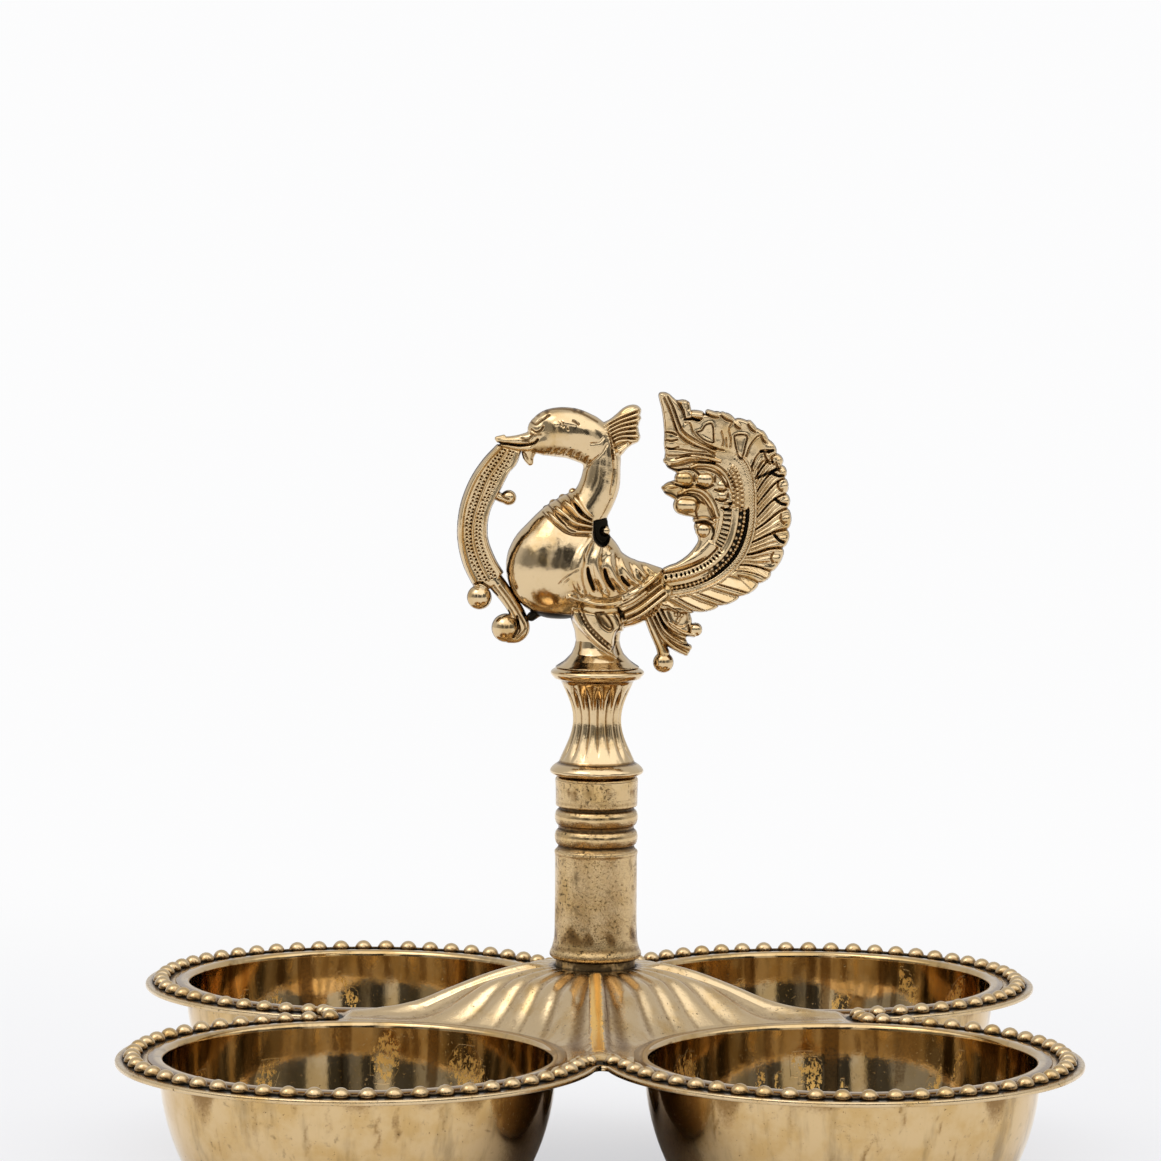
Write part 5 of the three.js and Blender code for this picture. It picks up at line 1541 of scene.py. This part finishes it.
        r.raise_line([(x + size * 1.1, z - size * 0.3), (x + size * 1.15, z + size * 0.5)], 0.22, -0.3, dark=0.75)
    r.raise_line([(12.1, 82.7), (13.2, 82.9), (14.4, 82.8), (15.2, 82.2)], 0.26, -0.35, dark=0.8)
    r.limb([(14.0, 83.2, 0.35, half + 0.4), (15.4, 83.6, 0.45, half + 0.55), (17.6, 83.3, 0.5, half + 0.55),
            (19.4, 81.8, 0.45, half + 0.5), (20.3, 79.6, 0.4, half + 0.4)], blend=0.08)
    r.raise_line([(14.8, 82.9), (16.6, 82.8), (18.3, 82.0), (19.4, 80.4)], 0.24, -0.3, dark=0.65)
    r.raise_line([(15.4, 83.9), (17.8, 83.6), (19.8, 82.0), (20.7, 80.2)], 0.2, -0.2, dark=0.4)
    r.limb([(10.4, 84.1, 0.5, 1.0), (11.6, 84.0, 0.75, half + 0.3), (13.6, 84.6, 0.55, half + 0.5),
            (16.0, 84.7, 0.5, half + 0.5), (18.4, 84.1, 0.4, half + 0.4)], blend=0.1)
    r.raise_line([(11.0, 83.3), (12.6, 83.5), (14.6, 84.0), (17.6, 83.8)], 0.24, -0.3, dark=0.65)
    r.raise_line([(10.4, 83.4), (11.4, 82.9), (12.4, 82.7)], 0.35, 0, dark=0.9)
    for line in (
        [(10.5, 84.9), (12.4, 84.9), (14.6, 85.2), (17.4, 84.8)],
        [(10.6, 85.9), (12.6, 85.8), (14.6, 85.5), (16.4, 85.4)],
        [(11.8, 84.5), (13.6, 84.9), (15.2, 84.6)],
    ):
        r.raise_line(line, 0.22, -0.28, dark=0.55)
    r.ball(11.0, 87.6, 0.75, lift=0.4)
    r.ball(11.2, 86.6, 0.7, lift=0.4)
    r.raise_lines(
        ([(10.3, 88.4), (11.2, 88.3), (11.9, 88.0)], 0.24, -0.3, 0.8),
        ([(10.3, 87.2), (11.2, 87.1), (12.0, 87.3)], 0.24, -0.3, 0.8),
        ([(10.3, 86.1), (11.2, 85.9), (12.2, 86.2)], 0.22, -0.3, 0.6),
    )
    # top leaf
    r.limb([(10.0, 93.9, 0.35, half + 0.2), (11.0, 92.0, 0.4, half + 0.45), (11.8, 89.9, 0.45, half + 0.55),
            (12.6, 88.2, 0.45, half + 0.55), (14.6, 86.8, 0.4, half + 0.5), (17.7, 85.5, 0.3, half + 0.3)],
            blend=0.08)
    r.raise_lines(
        ([(10.0, 93.6), (10.9, 91.6), (11.8, 88.9), (12.4, 87.8), (13.8, 86.7), (16.4, 85.8), (17.7, 84.9)],
         0.2, -0.26, 0.6),
        ([(10.5, 93.8), (11.4, 92.0), (12.2, 89.8), (13.0, 88.5), (14.6, 87.4), (17.3, 86.1), (19.0, 85.7)],
         0.2, -0.26, 0.55),
        ([(11.9, 93.0, 0.3), (12.7, 91.9, 0.36), (13.1, 90.6, 0.25)], 0.3, -0.3, 0.8),
        ([(13.5, 93.0), (13.6, 91.8)], 0.22, -0.25, 0.6),
        ([(12.6, 93.1), (12.9, 91.9)], 0.26, 0.3),
        ([(13.1, 90.3), (14.2, 90.4), (15.2, 90.2)], 0.3, -0.4, 0.95),
    )
    r.dark_spot(10.2, 91.4, 0.3, 0.4)
    # leaf fan below the root
    r.slab([(7.6, 61.2), (9.2, 62.6), (12.5, 62.6), (14.2, 61.0), (14.4, 59.0), (13.6, 57.4), (14.3, 55.6),
            (13.2, 54.9), (11.3, 55.8), (9.8, 57.0), (8.6, 59.0)], half - 0.15, edge=0.4)
    for line in (
        ((9.4, 61.8, 0.45, 0.3), (10.6, 59.7, 0.5, 0.5), (12.6, 58.4, 0.5, 0.55), (14.7, 58.0, 0.5, 0.5)),
        ((8.9, 61.2, 0.4, 0.3), (10.2, 58.6, 0.5, 0.5), (12.2, 56.9, 0.5, 0.5), (14.0, 56.0, 0.5, 0.4)),
        ((8.4, 60.6, 0.4, 0.2), (9.9, 57.9, 0.45, 0.35), (11.6, 56.2, 0.45, 0.4), (13.6, 55.1, 0.4, 0.3)),
    ):
        r.limb([(x, z, size, half + proud) for x, z, size, proud in line], blend=0.1)
    for dx, dz in ((0.0, 0.0), (-0.45, -0.55), (0.5, 0.6)):
        r.raise_line([(9.3 + dx, 61.2 + dz), (10.6 + dx, 58.9 + dz), (12.6 + dx, 57.5 + dz),
                (14.2 + dx, 57.0 + dz)], 0.22, -0.3, dark=0.6)
    r.sink([(10.6, 62.0), (13.2, 61.6), (13.7, 60.0), (13.0, 59.2), (11.6, 59.8)], 0.3, dark=0.5)
    for x, z in ((12.0, 61.0), (12.5, 60.4), (12.9, 60.9), (12.3, 60.0)):
        r.ball(x, z, 0.3, lift=0.85, blend=0.1)
    r.ball(15.0, 58.7, 1.0, lift=0.5)
    r.raise_line([(13.9, 59.4), (14.1, 58.4)], 0.22, -0.3, dark=0.8)
    r.keep(base)
    # drop
    r.limb([(7.6, 61.0, 0.55, half + 0.2), (8.7, 58.6, 0.75, half + 0.3), (9.8, 56.2, 0.8, half + 0.2),
            (10.2, 55.2, 0.95, half + 0.2)], blend=0.15)
    r.raise_line([(8.0, 60.8), (9.0, 58.8), (10.0, 56.6)], 0.22, -0.25, dark=0.55)
    r.ball(10.2, 53.7, 1.55)
    return r


def garland_relief(step):
    r = Relief((-22.2, 55.2), (-9.0, 87.8), step)
    half = 1.3
    outer = [(-15.0, 86.4), (-17.2, 84.0), (-19.1, 81.0), (-20.4, 77.5), (-20.9, 74.0), (-20.7, 71.0),
            (-19.9, 68.0), (-18.4, 65.0)]
    inner = [(-11.3, 85.6), (-12.0, 83.5), (-13.1, 82.2), (-14.3, 79.8), (-16.0, 76.2), (-16.3, 72.6),
            (-15.2, 69.4), (-13.9, 67.2)]
    left, right = curve(outer, 4), curve(inner, 4)
    r.slab([tuple(p) for p in left] + [(-16.8, 64.4), (-15.2, 65.0)] + [tuple(p) for p in right[::-1]], half,
           smooth=0)
    # stalk round to the big ball
    r.limb([(-16.6, 67.6, 1.3, half), (-14.8, 65.4, 1.3, half + 0.1), (-13.0, 63.0, 1.15, half + 0.1),
            (-11.7, 60.9, 1.15, half + 0.1), (-11.0, 58.8, 1.1, half), (-11.8, 57.7, 1.1, half),
            (-13.0, 57.4, 0.9, half)], blend=0.2)
    r.settle(0.2)
    r.raise_line([(x + 0.55, z - 0.1, 0.62) for x, z in outer], 0.6, 0.5)
    r.raise_line([(x - 0.3, z - 0.1, 0.4) for x, z in inner], 0.4, 0.35)
    middle = [((a[0] + b[0]) / 2, (a[1] + b[1]) / 2) for a, b in zip(outer, inner)]
    r.raise_line([(x, z, 0.3) for x, z in middle], 0.3, 0.25)
    # punched bands either side of the middle
    rng = np.random.default_rng(4)
    for share in (0.3, 0.42, 0.62, 0.74):
        path = [(a[0] + share * (b[0] - a[0]), a[1] + share * (b[1] - a[1])) for a, b in zip(outer, inner)]
        for place in stations(path, 0.56, 0.6):
            x, z = place + rng.uniform(-0.08, 0.08, 2)
            r.raise_line([(x - 0.01, z, 0.24), (x + 0.01, z + 0.02, 0.24)], 0.24, -0.38, dark=0.8)
    for offset in (-0.45, 0.45):
        r.raise_line([(-14.9 + offset, 65.2), (-13.2 + offset, 63.0), (-11.9 + offset, 60.9),
                (-11.0 + offset, 58.9), (-11.9, 57.5 - offset * 0.4)], 0.22, -0.25, dark=0.5)
    r.ball(-13.5, 58.8, 2.15, lift=0.1)
    r.raise_line([(-11.8, 60.6), (-11.7, 58.9), (-12.4, 57.5)], 0.26, -0.5, dark=0.8)
    r.ball(-17.5, 63.4, 1.85, lift=0.1)
    r.raise_line([(-18.7, 65.2), (-17.4, 65.7), (-16.1, 65.0)], 0.28, -0.4, dark=0.7)
    # curl on the inner side
    r.limb([(-15.8, 79.4, 0.7, half - 0.1), (-14.8, 78.6, 0.7, half - 0.1), (-13.8, 78.3, 0.8, half - 0.1)],
           blend=0.2)
    r.ball(-13.2, 78.4, 1.15, lift=0.1)
    # painted shade: a black line with no height along the stalk's inner edge, next to the bird
    r.raise_line([(-14.1, 67.8), (-12.9, 66.1), (-11.2, 63.4), (-10.0, 61.3)], 0.28, 0, dark=0.9)
    r.raise_line([(-14.4, 79.5), (-14.0, 78.6), (-13.2, 78.2)], 0.26, -0.3, dark=0.6)
    r.limb([(-14.6, 82.2, 0.5, half - 0.2), (-14.9, 80.4, 0.5, half - 0.2), (-14.9, 79.0, 0.4, half - 0.2)],
           blend=0.2)
    return r


class PUJA_OT_plume(bpy.types.Operator):
    """Casts the feathered tail"""

    bl_idname = "puja.plume"
    bl_label = "Tail"

    def execute(self, context):
        scene = context.scene
        cast_piece(scene, "cast_plume", "tail_plume", plume_relief(scene.puja_handle.plume_grain / MM))
        return {"FINISHED"}


class PUJA_OT_garland(bpy.types.Operator):
    """Casts the garland that hangs from the beak"""

    bl_idname = "puja.garland"
    bl_label = "Garland"

    def execute(self, context):
        scene = context.scene
        cast_piece(scene, "cast_garland", "beak_garland", garland_relief(scene.puja_handle.plume_grain / MM))
        return {"FINISHED"}


# Fastening


class PUJA_OT_fastening(bpy.types.Operator):
    """Finishes the washers, the nut and the tie rod"""

    bl_idname = "puja.fastening"
    bl_label = "Fastening"

    def execute(self, context):
        look = context.scene.puja_finish
        steel = plated_steel("plated steel", look)
        # the seat washer is made much darker than the brass round it
        dusky = brass("aged brass", look, polish=0.4, cloud=0.9, tarnish=1.0, spots=0.9, waves=0.4, grain=1.0)
        finishes = {"seat_washer": dusky, "plate_washer": steel, "hex_nut": steel, "tie_rod": steel}
        for name, material in finishes.items():
            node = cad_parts[name]
            node.data.materials.clear()
            node.data.materials.append(material)
        return {"FINISHED"}


# Stage


def camera_matrix():
    """The photograph's viewpoint: eye, pitch, yaw and roll."""
    pitch, yaw, roll = map(math.radians, PITCH_YAW_ROLL)
    forward = Vector((math.cos(pitch) * math.sin(yaw), math.cos(pitch) * math.cos(yaw), -math.sin(pitch)))
    right = Vector((math.cos(yaw), -math.sin(yaw), 0))
    up = right.cross(forward)
    across = math.cos(roll) * right + math.sin(roll) * up
    above = -math.sin(roll) * right + math.cos(roll) * up
    turn = Matrix((across, above, -forward)).transposed()
    return Matrix.Translation(Vector(EYE) * MM) @ turn.to_4x4()


def studio_world(look):
    """A pale sweep all round, bright overhead, with the dark of the room behind the viewer."""
    world = bpy.data.worlds.new("studio")
    wires = Wiring(world)
    direction = wires.make("ShaderNodeTexCoord").outputs["Generated"]
    parts = wires.make("ShaderNodeSeparateXYZ")
    wires.feed(parts.inputs[0], direction)
    x, y, z = parts.outputs
    overhead = wires.between(z, 0.36, 0.5)
    front = wires.between(y, 0.05, -0.4)
    facing = wires.between(y, 0.25, -0.2)
    ragged = wires.noise(direction, 5.0, 3, 0.6, stretch=(1.0, 1.0, 0.25))
    top = wires.sum("MULTIPLY_ADD", ragged, 0.75, 0.12)
    low = wires.times(wires.between(z, 0.0, 0.02), wires.between(wires.minus(top, z), -0.02, 0.05))
    bars = wires.make("ShaderNodeValToRGB")
    bars.color_ramp.interpolation = "EASE"
    # place from left to right and how light it is there
    stops = [
        (0.0, 0.4), (0.2, 0.45), (0.24, 0.1), (0.33, 0.12), (0.35, 0.95), (0.41, 0.85), (0.425, 0.06), (0.49, 0.08),
        (0.5, 0.3), (0.55, 0.24), (0.565, 0.06), (0.66, 0.08), (0.675, 0.95), (0.76, 0.85), (0.78, 0.12),
        (1.0, 0.4),
    ]
    ramp = bars.color_ramp.elements
    while len(ramp) < len(stops):
        ramp.new(0.5)
    for element, (place, level) in zip(ramp, stops):
        element.position = place
        element.color = (level, level, level, 1)
    wires.feed(bars.inputs[0], wires.sum("MULTIPLY_ADD", x, 0.5, 0.5))
    dark = wires.times(wires.times(front, low), wires.minus(1.0, bars.outputs[0]))
    level = wires.times(0.74, wires.minus(1.0, dark))
    box = wires.times(wires.times(overhead, facing), wires.minus(1.0, dark))
    level = wires.plus(level, wires.times(box, look.glow))
    tone = wires.make("ShaderNodeCombineColor")
    for socket in tone.inputs:
        wires.feed(socket, level)
    lit = wires.make("ShaderNodeBackground")
    wires.feed(lit.inputs["Color"], tone.outputs[0])
    plain = wires.make("ShaderNodeBackground")
    plain.inputs["Color"].default_value = (*look.paper, 1)
    rays = wires.make("ShaderNodeLightPath")
    wires.show(wires.mixed(rays.outputs["Is Camera Ray"], lit, plain), "World")
    return world


def paper_floor(look):
    """Pale paper that fades into the backdrop's colour away from the object, with painted shade that darkens its
    glow in front.
    """
    material = bpy.data.materials.new("studio paper")
    wires = Wiring(material)
    place = wires.make("ShaderNodeTexCoord").outputs["Object"]
    distance = wires.make("ShaderNodeVectorMath", operation="LENGTH")
    wires.feed(distance.inputs[0], place)
    parts = wires.make("ShaderNodeSeparateXYZ")
    wires.feed(parts.inputs[0], place)
    rays = wires.make("ShaderNodeLightPath")
    shade = wires.make("ShaderNodeBsdfDiffuse")
    wires.feed(shade.inputs["Color"], wires.blend(rays.outputs["Is Camera Ray"], look.paper, look.shaded_paper))
    glow = wires.make("ShaderNodeEmission")
    # painted shade: the glow darkens towards the front
    behind = wires.between(parts.outputs["Y"], 0.0, 0.36)
    wires.feed(glow.inputs["Color"], wires.blend(behind, look.painted_front_shade, look.paper))
    far = wires.between(distance.outputs["Value"], 0.12, 0.32, 0.7, 1.0)
    share = wires.times(far, rays.outputs["Is Camera Ray"])
    wires.show(wires.mixed(share, shade, glow), "Material")
    return material


class PUJA_OT_stage(bpy.types.Operator):
    """Sets the paper floor, the light and the camera"""

    bl_idname = "puja.stage"
    bl_label = "Stage"

    def execute(self, context):
        scene = context.scene
        look = scene.puja_studio
        scene.view_settings.view_transform = "Standard"
        scene.world = studio_world(look)
        corners, faces = turned([(ring / MM, 0.0) for ring in FLOOR_RINGS], 64)
        mesh = bpy.data.meshes.new("floor")
        mesh.from_pydata((corners * MM).tolist(), [], faces)
        mesh.materials.append(paper_floor(look))
        floor = bpy.data.objects.new("floor", mesh)
        scene.collection.objects.link(floor)
        lamp = bpy.data.lights.new("key", "AREA")
        lamp.shape = "RECTANGLE"
        lamp.size, lamp.size_y = LAMP_SIZE
        lamp.energy = look.lamp
        key = bpy.data.objects.new("key", lamp)
        key.location = LAMP_PLACE
        key.rotation_euler = (Vector(LAMP_AIM) - key.location).to_track_quat("-Z", "Y").to_euler()
        scene.collection.objects.link(key)
        camera = bpy.data.objects.new("camera", bpy.data.cameras.new("camera"))
        camera.data.sensor_width = FILM_WIDTH
        camera.data.lens = FOCAL_LENGTH / PHOTO_WIDTH * FILM_WIDTH
        camera.data.clip_start = 0.05
        camera.data.clip_end = 20
        camera.matrix_world = camera_matrix()
        scene.collection.objects.link(camera)
        scene.camera = camera
        return {"FINISHED"}


class PUJA_PT_tray(bpy.types.Panel):
    """Sizes, colours and pieces of the puja tray"""

    bl_label = "Puja tray"
    bl_idname = "PUJA_PT_tray"
    bl_space_type = "VIEW_3D"
    bl_region_type = "UI"
    bl_category = "Puja tray"

    def draw(self, context):
        layout = self.layout
        for group in ("puja_tray", "puja_handle", "puja_finish", "puja_studio"):
            settings = getattr(context.scene, group)
            box = layout.box()
            for name in settings.__annotations__:
                box.prop(settings, name)
        for operator in operators:
            layout.operator(operator.bl_idname)


operators = (
    PUJA_OT_stage,
    PUJA_OT_bowls,
    PUJA_OT_plate,
    PUJA_OT_beads,
    PUJA_OT_fastening,
    PUJA_OT_stem,
    PUJA_OT_baluster,
    PUJA_OT_bird,
    PUJA_OT_plume,
    PUJA_OT_garland,
)
groups = {"puja_tray": TraySizes, "puja_handle": HandleSizes, "puja_finish": Finish, "puja_studio": Studio}


def register():
    for kind in (*groups.values(), *operators, PUJA_PT_tray):
        bpy.utils.register_class(kind)
    for name, kind in groups.items():
        setattr(bpy.types.Scene, name, bpy.props.PointerProperty(type=kind))


def unregister():
    for name in groups:
        delattr(bpy.types.Scene, name)
    for kind in (PUJA_PT_tray, *reversed(operators), *groups.values()):
        bpy.utils.unregister_class(kind)


def main():
    register()
    for operator in operators:
        area, name = operator.bl_idname.split(".")
        getattr(getattr(bpy.ops, area), name)()


if __name__ == "__main__":
    main()
